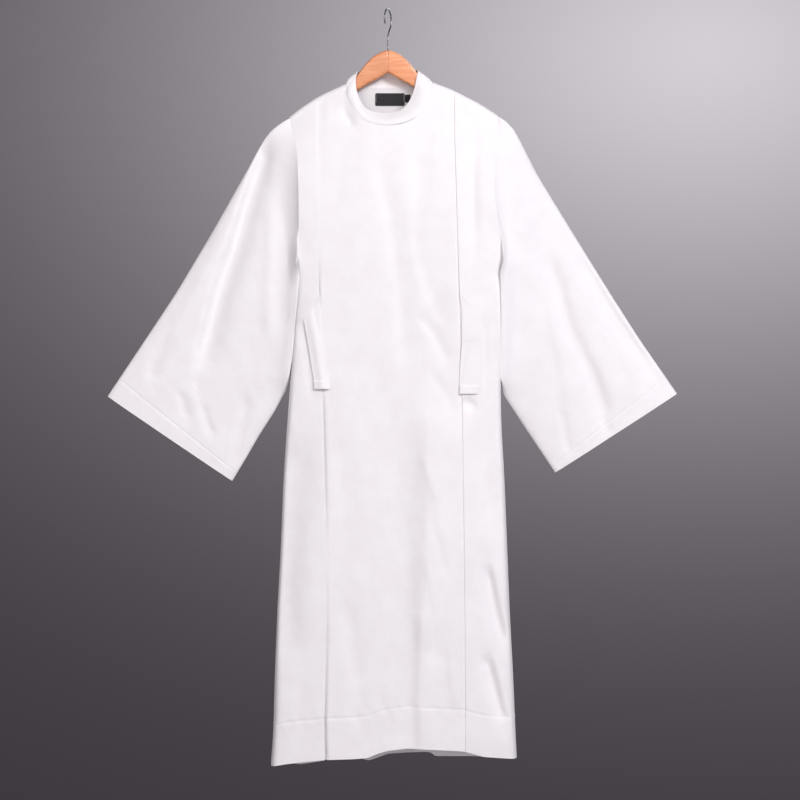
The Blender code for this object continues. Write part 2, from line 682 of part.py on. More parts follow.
def build():
    """Clear the scene and make every piece."""
    for old in list(bpy.data.objects):
        bpy.data.objects.remove(old, do_unlink=True)
    cloth = material("white_cloth", CLOTH, 0.85)
    black = material("black_label", LABEL_BLACK, 0.7)
    wood = material("hanger_wood", WOOD, 0.45)
    metal = material("hook_wire", METAL, 0.25, 1.0)
    front_centre(cloth)
    front_side("front_side_left", -1, cloth)
    front_side("front_side_right", 1, cloth)
    back_panel(cloth)
    sleeve("sleeve_left", -1, cloth)
    sleeve("sleeve_right", 1, cloth)
    collar(cloth)
    belt_tab("belt_tab_left", LEFT_TAB, -652.0, -602.0, -799.0, cloth)
    belt_tab("belt_tab_right", RIGHT_TAB, -606.0, -650.0, -807.0, cloth)
    label("neck_label", -27.0, 36.0, -175.0, -202.0, LABEL_LAYERS, black)
    label("size_tab", 36.4, 48.0, -179.0, -196.0, LABEL_LAYERS, black)
    hanger_arm("hanger_arm_left", -1, wood)
    hanger_arm("hanger_arm_right", 1, wood)
    hook(metal)


build()
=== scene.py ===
"""A white alb robe with a stand collar, wide sleeves, two front pleats and two belt tabs, on a wooden
hanger with a wire hook.

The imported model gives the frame: the origin is the inside top of the hook's loop, +Z is up and the
robe's front faces -Y. Sizes are in millimetres and become metres where a mesh is made. Every cloth
panel is a thin wall between two layers of one body surface, so neighbours follow each other.
"""

import bpy
import numpy as np
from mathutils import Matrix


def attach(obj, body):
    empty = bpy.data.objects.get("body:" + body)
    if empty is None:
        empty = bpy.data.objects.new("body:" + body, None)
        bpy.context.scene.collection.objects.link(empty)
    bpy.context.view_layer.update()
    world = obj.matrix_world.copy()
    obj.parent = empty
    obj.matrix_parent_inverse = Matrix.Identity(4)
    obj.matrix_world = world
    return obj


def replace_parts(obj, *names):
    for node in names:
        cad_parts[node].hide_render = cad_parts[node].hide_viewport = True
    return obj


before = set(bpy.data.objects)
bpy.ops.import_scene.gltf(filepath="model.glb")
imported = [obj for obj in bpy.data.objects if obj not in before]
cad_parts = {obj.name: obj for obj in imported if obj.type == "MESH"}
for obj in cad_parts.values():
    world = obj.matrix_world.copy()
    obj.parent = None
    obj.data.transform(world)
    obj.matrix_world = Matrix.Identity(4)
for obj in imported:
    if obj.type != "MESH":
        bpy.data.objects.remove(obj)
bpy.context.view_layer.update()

METRES = 0.001
SEED = 11

# Cloth's thickness, depth of hem and cuff, gaps at seams, and stitches
WALL = 0.7
HEM_DEEP = 86.0
CUFF_DEEP = 50.0
SEAM = 0.2
PANEL_GAP = 0.3
STITCH_PITCH = 3.4
STITCH_LENGTH = 2.5
STITCH_RADIUS = 0.32
STITCH_LIFT = 0.1

# Lengths that rows are spaced by, from the shoulder to the hem and from the armhole to the cuff, and
# the rows close to a stitched line
PANEL_LENGTH = 1345.0
SLEEVE_LENGTH = 700.0
LINE_ROWS = np.array([-6.0, -3.5, -1.6, 0.0, 1.6, 3.5, 6.0])

# Layers, counted outwards from the body surface
UNDER_PLEAT = -2.1
PLEAT_RETURN = 24.0

# Columns of the centre panel beside a pleat, from under the side panel to the open cloth
BESIDE_PLEAT = np.array([-28, -20, -12, -5, 0, 1.2, 2.2, 3.2, 4.5, 6.5, 9, 13, 18, 23, 28])

# A side panel's folded edge, outside and inside: how far past the fold, and on which layer
FOLD_OUTSIDE = ((0.4, -0.05), (0.8, -0.4), (1.0, -0.95), (0.8, -1.5), (0.4, -1.85))
FOLD_INSIDE = ((0.0, -0.75), (0.15, -0.83), (0.22, -0.95), (0.15, -1.07), (0.0, -1.15))

# Shoulder ridge over the hanger's arm, and how fast the cloth eases out below it
RIDGE_RADIUS = 13.4
RIDGE_LEAN = 0.86
SHOULDER_EASE = 85.0

# Neck
NECK_CENTRE = 2.0
NECK_HALF = 91.5
NECK_DROP_FRONT = 93.0
NECK_DROP_BACK = 8.0

# Armholes, and how the body closes to its side edges below them
ARM_BOTTOM = -560.0
ARM_WIDE = 44.0
ARM_CLEAR = -0.2
EDGE_TAPER = 0.22
EDGE_POWER = 64
EDGE_ROUND = 0.45

# Sleeve beside the body below the armhole: where that starts and ends, how far the sleeve swells to the
# body's depth and how fast that fades away from the body
BESIDE_TOP = -440.0
BESIDE_END = -830.0
BESIDE_SWELL = 26.0
BESIDE_FADE = 17.0
CLEAR_END = -800.0

# Collar band; its start and end are angles round the neck from the front centre
COLLAR_INSET = 0.2
COLLAR_HALF_WALL = 0.6
COLLAR_LAP = 1.9
COLLAR_START = 18.0
COLLAR_END = 396.0

# Hanger and hook; the loop's angles are degrees
HANGER_HALF_THICK = 6.0
HANGER_BELOW_RIDGE = 8.1
HANGER_DEEP = 23.0
HANGER_TIP = 219.0
HANGER_TIP_ROUND = 14.0
WOOD_TOP = -84.0
WIRE_RADIUS = 1.7
STEM_TOP = -62.0
LOOP_RADIUS = 22.0
LOOP_FROM = -50.0
LOOP_TO = 212.0
LOOP_TURN = 72.0

# Floor, and the glow of the surroundings: its middle (across, up), its narrowing, its reach and its
# fading, then how bright the surroundings behind the camera are
FLOOR_RADIUS = 4.2
FLOOR_AT = (0.0, -0.4, -2.6)
FLOOR_SIDES = 72
GLOW_AT = (0.14, 0.16)
GLOW_WIDE = 0.65
GLOW_RADIUS = 0.15
GLOW_FADE = 0.368
GLOW_BEHIND = 0.56
DARK_GREY = (0.040, 0.034, 0.041)
PALE_GREY = (0.66, 0.62, 0.67)

# Lamps: name, place, aim, size, power and colour, in metres and watts
LAMPS = (
    ("key_light", (2.2, -3.75, 1.8), (0.05, 0.0, -0.4), 1.5, 160.0, (0.99, 0.99, 1.02)),
    ("fill_light", (-1.4, -4.4, 0.6), (0.0, 0.0, -0.6), 3.6, 68.0, (1.0, 0.92, 0.88)),
    ("back_light_right", (1.6, 3.9, 1.2), (0.0, 0.0, -0.7), 2.6, 80.0, (0.97, 0.97, 1.0)),
    ("back_light_left", (-1.4, 4.2, 0.6), (0.0, 0.0, -0.8), 2.2, 16.0, (1.0, 0.97, 0.95)),
)
CAMERA_AT = (0.0252, -4.5, -0.819)
CAMERA_LENS = 96.43


class Table:
    """Rows of numbers with named columns, read along the first column with softened corners."""

    def __init__(self, names, rows):
        values = np.array(rows, dtype=float)
        values = values[np.argsort(values[:, 0])]
        self.columns = dict(zip(names.split(), values.T))
        self.key = values[:, 0]

    def at(self, name, where, ease=12.0):
        steps = np.linspace(-ease, ease, 7)
        where = np.asarray(where, dtype=float)
        return np.mean([np.interp(where + step, self.key, self.columns[name]) for step in steps], axis=0)


BODY = Table("height left right front back", (
    (-100, 208, 231, 50, 40),
    (-231, 208, 231, 54, 42),
    (-262, 198, 228, 55, 43),
    (-300, 189, 225, 57, 44),
    (-357, 187, 221, 59, 45),
    (-410, 185, 224, 60, 45),
    (-470, 185, 233, 59, 44),
    (-540, 188, 240, 58, 43),
    (-640, 195, 243, 56, 42),
    (-735, 202, 240, 54, 41),
    (-800, 206, 236, 54, 41),
    (-880, 212, 238, 55, 42),
    (-980, 219, 244, 56, 43),
    (-1130, 225, 250, 57, 44),
    (-1260, 232, 255, 58, 46),
    (-1390, 237, 262, 60, 48),
    (-1510, 240, 267, 61, 50),
    (-1590, 246, 271, 62, 51),
))

RIDGE = Table("across height", (
    (-222, -237),
    (-208, -226),
    (-195, -215),
    (-168, -195.5),
    (-144, -181),
    (-126, -172),
    (-93, -157),
    (-60, -139),
    (0, -122),
    (60, -135),
    (93, -151.5),
    (131, -165.5),
    (153, -176.5),
    (194, -198),
    (231, -222),
    (251, -234),
))

PLEATS = Table("height left right", (
    (-150, -151, 141),
    (-315, -149, 140),
    (-462, -147, 144),
    (-590, -146, 148),
    (-640, -142, 150),
    (-804, -138, 155),
    (-990, -133, 157),
    (-1126, -130, 159),
    (-1312, -130, 161),
    (-1474, -134, 162),
    (-1580, -132, 162),
))

# Hem heights; the back hangs lower than the front in places
HEM = Table("across front back", (
    (-244, -1581, -1581),
    (-213, -1575, -1587),
    (-185, -1571, -1592),
    (-142, -1566, -1586),
    (-120, -1565, -1574),
    (-68, -1563, -1575),
    (-42, -1561, -1585),
    (-21, -1552, -1578),
    (0, -1546, -1570),
    (42, -1541, -1567),
    (92, -1544, -1566),
    (97, -1544, -1575),
    (157, -1547, -1575),
    (197, -1558, -1575),
    (262, -1564, -1573),
    (271, -1565, -1567),
))

# Folds: the path seen from the front, the width on its left and on its right, and the height
FRONT_FOLDS = (
    ("skirt_centre_rise", ((78, -790), (86, -900), (88, -1000), (84, -1130), (78, -1260), (74, -1350)),
     30, 60, 12.0),
    ("skirt_low_ridge", ((72, -1240), (70, -1340), (68, -1440), (72, -1570)), 13, 30, 6.0),
    ("chest_long_valley", ((-27, -298), (0, -418), (21, -540), (29, -634), (40, -804)), 17, 26, -5.0),
    ("chest_right_valley", ((44, -265), (63, -346), (59, -481), (82, -586), (130, -682)), 13, 20, -3.0),
    ("waist_drag", ((59, -640), (97, -682), (126, -746)), 9, 14, -3.5),
    ("waist_drag_low", ((84, -760), (118, -802), (141, -861)), 10, 14, -2.5),
    ("neck_left_short", ((-125, -193), (-118, -181), (-109, -172)), 6, 7, -2.2),
    ("neck_left_upright", ((-100, -168), (-101, -185), (-99, -204)), 6, 6, -2.4),
    ("under_collar_left", ((-98, -192), (-90, -222), (-70, -252)), 9, 12, -6.0),
    ("right_side_valley", ((183, -233), (178, -323), (176, -388), (181, -529)), 12, 12, -6.5),
    ("left_skirt_valley", ((-196, -869), (-202, -1029), (-212, -1197), (-216, -1400)), 24, 36, -12.0),
    ("low_left_valley", ((-92, -1222), (-76, -1323), (-55, -1428)), 18, 22, -3.5),
    ("mid_left_valley", ((-99, -882), (-88, -1029), (-94, -1180)), 20, 26, -2.5),
    ("facet_ridge", ((69, -924), (88, -979), (107, -1035)), 10, 13, 3.0),
    ("facet_valley", ((88, -1054), (105, -1124), (124, -1193)), 9, 11, -2.6),
    ("crumple_ridge", ((76, -1147), (94, -1218), (109, -1298)), 9, 12, 2.2),
    ("crumple_valley", ((118, -1231), (99, -1298), (82, -1373)), 9, 11, -2.4),
    ("low_crumple_ridge", ((124, -1315), (132, -1386), (145, -1460)), 9, 11, 2.2),
    ("right_skirt_valley_high", ((203, -1150), (220, -1252), (245, -1340)), 14, 12, -11.0),
    ("right_skirt_slope", ((232, -1000), (240, -1150), (250, -1300), (262, -1500), (266, -1590)),
     110, 20, 9.0),
    ("right_skirt_ridge_high", ((212, -1147), (233, -1226), (252, -1310)), 9, 11, 3.5),
    ("right_skirt_valley_low", ((200, -1340), (220, -1415), (241, -1495)), 14, 12, -11.0),
    ("right_skirt_ridge_low", ((216, -1348), (235, -1415), (250, -1483)), 8, 10, 3.5),
    ("right_waist_valley", ((210, -861), (206, -966), (218, -1092)), 12, 14, -3.0),
    ("left_tab_trough", ((-187, -643), (-178, -704), (-168, -760), (-158, -823)), 9, 7.5, -1.5),
    ("under_right_tab", ((158, -818), (168, -826), (182, -838)), 11, 11, -7.0),
    ("right_tab_trough", ((197, -647), (202, -714), (202, -811)), 6, 9, -3.0),
)
BACK_FOLDS = (
    ("back_centre_valley", ((6, -215), (-8, -500), (4, -900), (-6, -1300)), 24, 30, -6.0),
    ("back_left_ridge", ((-96, -640), (-104, -980), (-92, -1500)), 24, 12, 7.0),
    ("back_right_ridge", ((92, -560), (112, -900), (104, -1500)), 12, 26, 7.0),
    ("back_right_valley", ((168, -700), (176, -1040), (170, -1460)), 16, 18, -5.0),
    ("back_left_valley", ((-160, -820), (-150, -1150), (-162, -1480)), 16, 18, -5.0),
    ("back_left_shoulder_drag", ((-150, -260), (-80, -340), (-30, -460)), 14, 20, -3.5),
    ("back_right_shoulder_drag", ((164, -262), (104, -352), (62, -500)), 14, 20, -3.0),
    ("back_low_ridge", ((30, -1180), (44, -1330), (36, -1545)), 10, 18, 4.0),
    ("back_waist_drag", ((-70, -700), (-20, -760), (38, -790)), 12, 14, -2.5),
    ("back_crumple", ((60, -980), (84, -1050), (96, -1140)), 9, 12, 2.4),
    ("back_crumple_low", ((-60, -1240), (-36, -1310), (-20, -1400)), 10, 13, -2.6),
)
SLEEVE_FOLDS = (
    ("left_long_trough", ((-240, -236), (-262, -294), (-288, -378), (-319, -483), (-355, -588),
                          (-382, -693), (-401, -777)), 11, 29, -20.0),
    ("left_inner_ridge", ((-246, -395), (-246, -546), (-252, -724)), 14, 14, 2.5),
    ("left_cuff_valley", ((-294, -802), (-309, -882), (-321, -966)), 10, 13, -4.5),
    ("left_cuff_dimple", ((-435, -802), (-430, -823), (-420, -861)), 8, 9, -3.0),
    ("left_cuff_ridge", ((-407, -798), (-403, -827), (-399, -878)), 8, 9, 1.2),
    ("left_cuff_dimple_two", ((-388, -827), (-380, -861), (-368, -895)), 8, 8, -3.0),
    ("left_top_ridge", ((-328, -430), (-403, -592), (-483, -718)), 16, 20, 3.0),
    ("left_outer_drag", ((-445, -647), (-479, -718), (-500, -785)), 13, 16, -3.0),
    ("right_long_trough", ((321, -472), (353, -575), (380, -672), (424, -756), (449, -827),
                           (462, -886)), 22, 16, -9.0),
    ("right_edge_valley", ((391, -500), (433, -569), (472, -634), (514, -697), (580, -790)), 20, 9, -9.0),
    ("right_inner_ridge", ((273, -399), (290, -542), (302, -714)), 16, 18, 2.0),
    ("right_mid_ridge", ((336, -609), (361, -718), (386, -840)), 14, 16, 3.0),
    ("right_cuff_valley", ((361, -836), (370, -886), (382, -937)), 9, 10, -3.0),
    ("right_cuff_crease", ((447, -853), (454, -869), (466, -890)), 7, 7, -3.0),
)

# How deep the centre panel sinks beside each pleat, and how it rises beside the right one
TRENCH = Table("height left right right_rise", (
    (-300, 0.0, 0.0, 0.0),
    (-460, 0.0, 0.0, 0.6),
    (-540, 1.5, 0.0, 0.6),
    (-595, 3.5, 0.0, 1.1),
    (-625, 0.0, 0.0, 0.9),
    (-660, 0.0, 0.0, 0.6),
    (-790, 0.0, 0.0, 0.6),
    (-830, 4.0, 0.5, 0.4),
    (-930, 4.5, 0.0, 1.2),
    (-1030, 3.0, 0.0, 1.4),
    (-1130, 0.8, 0.0, 1.4),
    (-1240, 2.0, 0.0, 1.4),
    (-1345, 4.0, 0.0, 1.3),
    (-1450, 6.5, 0.0, 1.5),
    (-1530, 8.0, 0.0, 1.5),
))

# Sleeves: share of the way from armhole to cuff, the top edge, the under edge and half of the depth
LEFT_SLEEVE = Table("share top_x top_z under_x under_z deep", (
    (0.000, -208.7, -226, -190, -560, 25),
    (0.025, -222, -235, -192, -585, 25),
    (0.060, -243, -251, -194, -620, 25),
    (0.090, -258, -270, -196, -650, 25),
    (0.210, -301, -346, -205, -765, 26),
    (0.245, -313, -367, -208, -789, 27),
    (0.280, -325, -389, -219, -807, 26),
    (0.417, -372, -472, -240, -846, 24),
    (0.627, -447, -598, -271, -894, 21),
    (0.789, -510, -693, -295, -936, 19),
    (1.000, -592, -816, -328, -991, 17),
))
RIGHT_SLEEVE = Table("share top_x top_z under_x under_z deep", (
    (0.000, 231.7, -222, 244, -560, 27),
    (0.034, 252, -234, 242, -585, 29),
    (0.060, 261, -247, 243, -620, 30),
    (0.090, 277, -276, 244, -650, 30),
    (0.200, 313, -346, 239, -765, 28),
    (0.240, 326, -367, 237, -798, 27),
    (0.270, 336, -384, 246, -813, 26),
    (0.400, 390, -472, 271, -851, 24),
    (0.610, 468, -598, 298, -892, 21),
    (0.775, 529, -693, 320, -925, 19),
    (1.000, 610, -810, 352, -973, 17),
))

# Top edge of the collar: angle round the neck from the front centre, then the place
COLLAR_TOP = Table("angle x y z", (
    (-180, 1, 21, -127),
    (-145, -34, 19, -126),
    (-115, -56, 12, -126),
    (-98, -63, 4, -127),
    (-88, -65, -3, -130),
    (-76, -67, -10, -140),
    (-60, -68, -14, -158),
    (-48, -65, -16, -176),
    (-35, -54, -19, -202),
    (-22, -40, -20, -214),
    (-8, -15, -21, -219),
    (6, 6, -21, -220),
    (18, 22, -20, -216),
    (30, 35, -19, -207),
    (42, 45, -17, -194),
    (55, 53, -15, -176),
    (68, 58, -13, -157),
    (78, 61, -10, -140),
    (88, 64, -3, -129),
    (98, 64, 4, -125),
    (115, 57, 12, -125),
    (145, 35, 19, -126),
    (180, 1, 21, -127),
))

# Hanger's upper and lower edge inside the neck, by distance from the middle
HANGER_HUMP = Table("out top bottom", (
    (0, -84, -132),
    (10, -86, -138),
    (26, -94, -147),
    (41, -106, -155),
    (57, -126, -165),
    (65, -138, -170),
    (78, -154, -178),
    (92, -168, -188),
))

# Belt tabs: height, left and right edge, then where a crease runs
LEFT_TAB = Table("height left right crease", (
    (-600, -176, -139, -164),
    (-652, -175, -138, -160),
    (-690, -168, -133, -152),
    (-738, -160, -127, -144),
    (-777, -154, -121, -138),
    (-796, -152, -120, -138),
))
RIGHT_TAB = Table("height left right crease", (
    (-606, 149, 190, 160),
    (-630, 154, 193, 163),
    (-690, 154, 196, 166),
    (-722, 152, 195, 164),
    (-770, 149, 191, 162),
    (-806, 149, 187, 162),
))
TAB_LAYERS = (1.1, 0.4)
LEFT_TAB_END = -796.0
RIGHT_TAB_END = -806.0
LEFT_TAB_TOP = (-652.0, -602.0)
RIGHT_TAB_TOP = (-606.0, -650.0)

# The slanting slits that the tabs come out of: across, height and slope
LEFT_SLIT = (-139.0, -602.0, 50.0 / 37.0)
RIGHT_SLIT = (149.0, -606.0, -44.0 / 41.0)

# Labels: left, right, top and bottom edge
NECK_LABEL = (-27.0, 35.0, -172.0, -198.0)
SIZE_TAB = (35.4, 47.0, -175.0, -191.0)
LABEL_CORNER = 2.2
LABEL_LAYERS = (-1.3, -1.9)


def smooth(value):
    """Step from 0 to 1 with level ends, for a value from 0 to 1."""
    value = np.clip(value, 0.0, 1.0)
    return value * value * (3.0 - 2.0 * value)


def bump(value):
    """Bell curve: 1 at 0, falling off as e to the minus square of the value."""
    return np.exp(-(value ** 2))


def fold_height(x, z, folds):
    """Sum of soft ridges and valleys. Each is a bell across its path, with its own width on either side,
    and fades out along the last fifth at both ends."""
    total = np.zeros(np.broadcast(x, z).shape)
    for _name, path, low_side, high_side, height in folds:
        nearest = np.full(total.shape, np.inf)
        width = np.full(total.shape, float(low_side))
        fade = np.zeros(total.shape)
        spans = len(path) - 1
        for index in range(spans):
            (x0, z0), (x1, z1) = path[index], path[index + 1]
            length = (x1 - x0) ** 2 + (z1 - z0) ** 2
            share = np.clip(((x - x0) * (x1 - x0) + (z - z0) * (z1 - z0)) / length, 0.0, 1.0)
            away = np.hypot(x - x0 - share * (x1 - x0), z - z0 - share * (z1 - z0))
            right_of = (x - x0) * (z1 - z0) - (z - z0) * (x1 - x0) < 0.0
            closer = away < nearest
            nearest = np.where(closer, away, nearest)
            width = np.where(closer, np.where(right_of, high_side, low_side), width)
            fade = np.where(closer, (index + share) / spans, fade)
        ends = smooth(fade * 5.0) * smooth((1.0 - fade) * 5.0) * 0.85 + 0.15
        total += height * ends * bump(nearest / width)
    return total


def ripple(x, z, seed, across, along, height):
    """Sum of nine slow waves that run mostly upright, so that the cloth is nowhere quite flat."""
    chance = np.random.default_rng(seed)
    total = np.zeros(np.broadcast(x, z).shape)
    for _wave in range(9):
        width = across * chance.uniform(0.7, 2.4)
        length = along * chance.uniform(0.7, 2.2)
        turn, start = chance.uniform(0.0, 2.0 * np.pi, 2)
        sway = 0.8 * np.sin(2.0 * np.pi * z / length + turn)
        total += np.sin(2.0 * np.pi * x / width + sway * 2.0 + start) * np.sin(
            2.0 * np.pi * z / (length * 1.7) + turn * 2.0)
    return total * height / 3.0


def side_edge(x, z):
    """Distance from the middle to the body's side edge, on the side where x lies."""
    return np.where(x < 0, BODY.at("left", z, 25.0), BODY.at("right", z, 25.0))


def armhole_half_gap(x, z):
    """Half of the armhole's opening front to back: a drop shape, wide near its top."""
    top = RIDGE.at("height", x)
    share = np.clip((top - z) / (top - ARM_BOTTOM), 0.0, 1.0)
    return 2.0 * ARM_WIDE * share ** 0.35 * (1.0 - share) ** 0.75


def armhole_open(x, z):
    """1 beside the armhole, falling to 0 at its lower end, where front and back close."""
    top = RIDGE.at("height", x)
    return smooth((z - ARM_BOTTOM) / (top - ARM_BOTTOM) / 0.12)


def edge_inset(z, away, side):
    """How far inside the side edge the body's rounded side lies at a distance from the middle plane,
    below the armhole."""
    full = (1.0 - EDGE_TAPER) * BODY.at("back", z)
    share = np.clip(away / full, 0.0, 0.96)
    return side_edge(side, z) * (1.0 - (1.0 - share ** (1.0 / EDGE_ROUND)) ** (1.0 / EDGE_POWER))


def hem_z(x, face):
    """Height of the hem at x, in front or behind."""
    return HEM.at("front" if face < 0 else "back", x, 5.0)


def trench(x, z):
    """Depth of the furrow beside each pleat's folded edge, on the centre panel only, less the low
    ridge that fills it beside the right pleat."""
    from_left = x - PLEATS.at("left", z)
    from_right = PLEATS.at("right", z) - x
    left = TRENCH.at("left", z) * bump((from_left - 2.4) / 3.4)
    right = TRENCH.at("right", z) * bump((from_right - 3.0) / 4.5)
    ridge = TRENCH.at("right_rise", z) * smooth((from_right - 0.6) / 3.4) * bump(from_right / 26.0)
    return left + right - ridge


def hem_pucker(x, z, face):
    """Short slanting puckers along the hem's stitched line, and the slight thickness below it."""
    above = z - hem_z(x, face) - HEM_DEEP
    wave = np.sin(x / 5.3 + above / 9.0 + 2.0 * np.sin(x / 31.0)) + 0.8 * np.sin(x / 8.1 - above / 12.0)
    held = 0.9 * bump(above / 2.4)
    return 0.42 * wave * bump(above / 16.0) - held + 0.5 * smooth(-above / 5.0)


def body_y(x, z, layer, face):
    """Depth of the body's cloth at (x, z): a rounded ridge over the hanger that eases out to the
    full depth below it, closing to the side edges as a flattened oval, with the folds added.
    face is -1 in front and +1 behind; layer moves the cloth outwards."""
    above = RIDGE_RADIUS - (RIDGE.at("height", x) - z) * RIDGE_LEAN
    ridge = np.sqrt(np.clip((RIDGE_RADIUS + layer) ** 2 - np.clip(above, 0.0, None) ** 2, 0.0, None))
    full = BODY.at("front" if face < 0 else "back", z)
    depth = ridge + (full - RIDGE_RADIUS) * (1.0 - np.exp(np.minimum(above, 0.0) / SHOULDER_EASE))
    across = np.clip(np.abs(x) / (side_edge(x, z) + layer), 0.0, 1.0)
    rounding = (1.0 - across ** EDGE_POWER) ** EDGE_ROUND
    rounding = rounding + (1.0 - rounding) * armhole_open(x, z)
    crown = (1.0 - EDGE_TAPER * across ** 4) * rounding
    edge = np.minimum(armhole_half_gap(x, z), 0.97 * depth)
    folds = fold_height(x, z, FRONT_FOLDS if face < 0 else BACK_FOLDS)
    folds += ripple(x, z, SEED + face, 95.0, 520.0, 1.0) + ripple(x, z, SEED + 5 + face, 38.0, 120.0, 0.3)
    folds += hem_pucker(x, z, face)
    folds = folds * crown * smooth(-above / 60.0)
    return face * (edge + (depth - edge) * crown + folds + SEAM)


def neck_z(x, face):
    """Height of the neckline: a rounded dip below the ends of the shoulder ridges."""
    share = np.clip((x - NECK_CENTRE) / NECK_HALF, -1.0, 1.0)
    drop = NECK_DROP_FRONT if face < 0 else NECK_DROP_BACK
    left_end, right_end = RIDGE.at("height", NECK_CENTRE + NECK_HALF * np.array([-1.0, 1.0]))
    ends = left_end + (right_end - left_end) * (share + 1.0) / 2.0
    round_dip = 0.375 if face < 0 else 1.0
    return ends - drop * (1.0 - share ** 2) ** round_dip


def panel_top(x, layer, face):
    """Upper edge of a body panel: the neckline inside the collar, the shoulder ridge outside it."""
    in_neck = np.abs(x - NECK_CENTRE) < NECK_HALF
    return np.where(in_neck, neck_z(x, face) + layer * 0.2, RIDGE.at("height", x) + layer / RIDGE_LEAN)


def panel_rows():
    """Shares of the way from a panel's upper edge to its hem: close over the ridge and at the hem."""
    line = PANEL_LENGTH - HEM_DEEP
    ridge = RIDGE_RADIUS * (1.0 - np.cos(np.radians(np.linspace(0.0, 90.0, 8)))) / RIDGE_LEAN
    down = np.linspace(ridge[-1], line - 9.0, 250)[1:]
    low = np.linspace(line + 13.0, PANEL_LENGTH, 17)
    return np.concatenate([ridge, down, line + LINE_ROWS, [line + 9.0], low]) / PANEL_LENGTH


def panel_layer(columns_x, columns_layer, z_start, face):
    """One face of a panel's wall: a grid of points whose columns have their own x and layer."""
    rows = panel_rows()[:, None]
    z = np.full((1, 1), z_start)
    for _again in range(4):
        x = columns_x(z)
        layer = columns_layer(x, z)
        z = panel_top(x, layer, face)
    top = z
    x_hem = columns_x(np.full_like(top, -1570.0))
    z = top + (hem_z(x_hem, face) - top) * rows
    x = columns_x(z)
    layer = columns_layer(x, z)
    return np.stack([x, body_y(x, z, layer, face), z], axis=-1)


def unit(vectors):
    """Vectors brought to a length of 1."""
    return vectors / np.linalg.norm(vectors, axis=-1, keepdims=True)


def run_along(path):
    """Distance of each point of a path from its first point, along the path."""
    return np.concatenate([[0.0], np.cumsum(np.linalg.norm(np.diff(path, axis=0), axis=1))])


def grid_faces(numbers):
    """Four-cornered faces between the neighbouring rows and columns of a grid of point numbers."""
    corners = (numbers[:-1, :-1], numbers[:-1, 1:], numbers[1:, 1:], numbers[1:, :-1])
    return np.stack(corners, axis=-1).reshape(-1, 4)


def new_mesh(name, points, faces):
    """Mesh of points in millimetres."""
    mesh = bpy.data.meshes.new(name)
    mesh.from_pydata((points * METRES).tolist(), [], faces)
    return mesh


def cloth_lengths(grid):
    """Distance along the cloth for a grid of points: across from the first column, and up from the
    last row, both in metres."""
    across = np.linalg.norm(np.diff(grid, axis=1), axis=-1)
    across = np.concatenate([np.zeros((len(grid), 1)), np.cumsum(across, axis=1)], axis=1)
    down = np.linalg.norm(np.diff(grid, axis=0), axis=-1)
    up = np.concatenate([np.cumsum(down[::-1], axis=0)[::-1], np.zeros((1, grid.shape[1]))])
    return np.stack([across, up], axis=-1) * METRES


def place(mesh, material):
    """Object of a mesh: shaded smooth, riding on the frame's one body and given its finish."""
    mesh.shade_smooth()
    mesh.set_sharp_from_angle(angle=np.radians(60.0))
    mesh.materials.append(material)
    piece = bpy.data.objects.new(mesh.name, mesh)
    bpy.context.scene.collection.objects.link(piece)
    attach(piece, "root")
    return piece


def wall_piece(name, outer, inner, material, tube=False):
    """Closed wall between two grids of points: both faces, and strips along the open edges. A tube is
    closed across its columns. Its UV map holds the distances along the cloth."""
    rows, columns = outer.shape[:2]
    lengths = cloth_lengths(np.concatenate([outer, outer[:, :1]], axis=1) if tube else outer)
    index = np.arange(rows * columns).reshape(rows, columns)
    if tube:
        index = np.concatenate([index, index[:, :1]], axis=1)
    below = index + rows * columns
    spots = np.arange(lengths.shape[0] * lengths.shape[1]).reshape(lengths.shape[:2])
    faces = [grid_faces(index), grid_faces(below)[:, ::-1]]
    marks = [grid_faces(spots), grid_faces(spots)[:, ::-1]]
    rims = [(index[0], below[0], spots[0]), (index[-1][::-1], below[-1][::-1], spots[-1][::-1])]
    if not tube:
        rims.append((index[::-1, 0], below[::-1, 0], spots[::-1, 0]))
        rims.append((index[:, -1], below[:, -1], spots[:, -1]))
    for near, far, mark in rims:
        faces.append(np.stack([near[1:], near[:-1], far[:-1], far[1:]], axis=-1))
        marks.append(np.stack([mark[1:], mark[:-1], mark[:-1], mark[1:]], axis=-1))
    faces, marks = np.concatenate(faces), np.concatenate(marks)
    points = np.concatenate([outer.reshape(-1, 3), inner.reshape(-1, 3)])
    if signed_volume(points, faces) < 0.0:
        faces, marks = faces[:, ::-1], marks[:, ::-1]
    mesh = new_mesh(name, points, faces.tolist())
    layer = mesh.uv_layers.new(name="cloth")
    layer.data.foreach_set("uv", lengths.reshape(-1, 2)[marks.ravel()].ravel())
    return place(mesh, material)


def signed_volume(points, faces):
    """Six times the volume inside quads: above 0 where they face outwards."""
    a, b, c, d = (points[faces[:, corner]] for corner in range(4))
    return np.sum(a * np.cross(b, c)) + np.sum(a * np.cross(c, d))


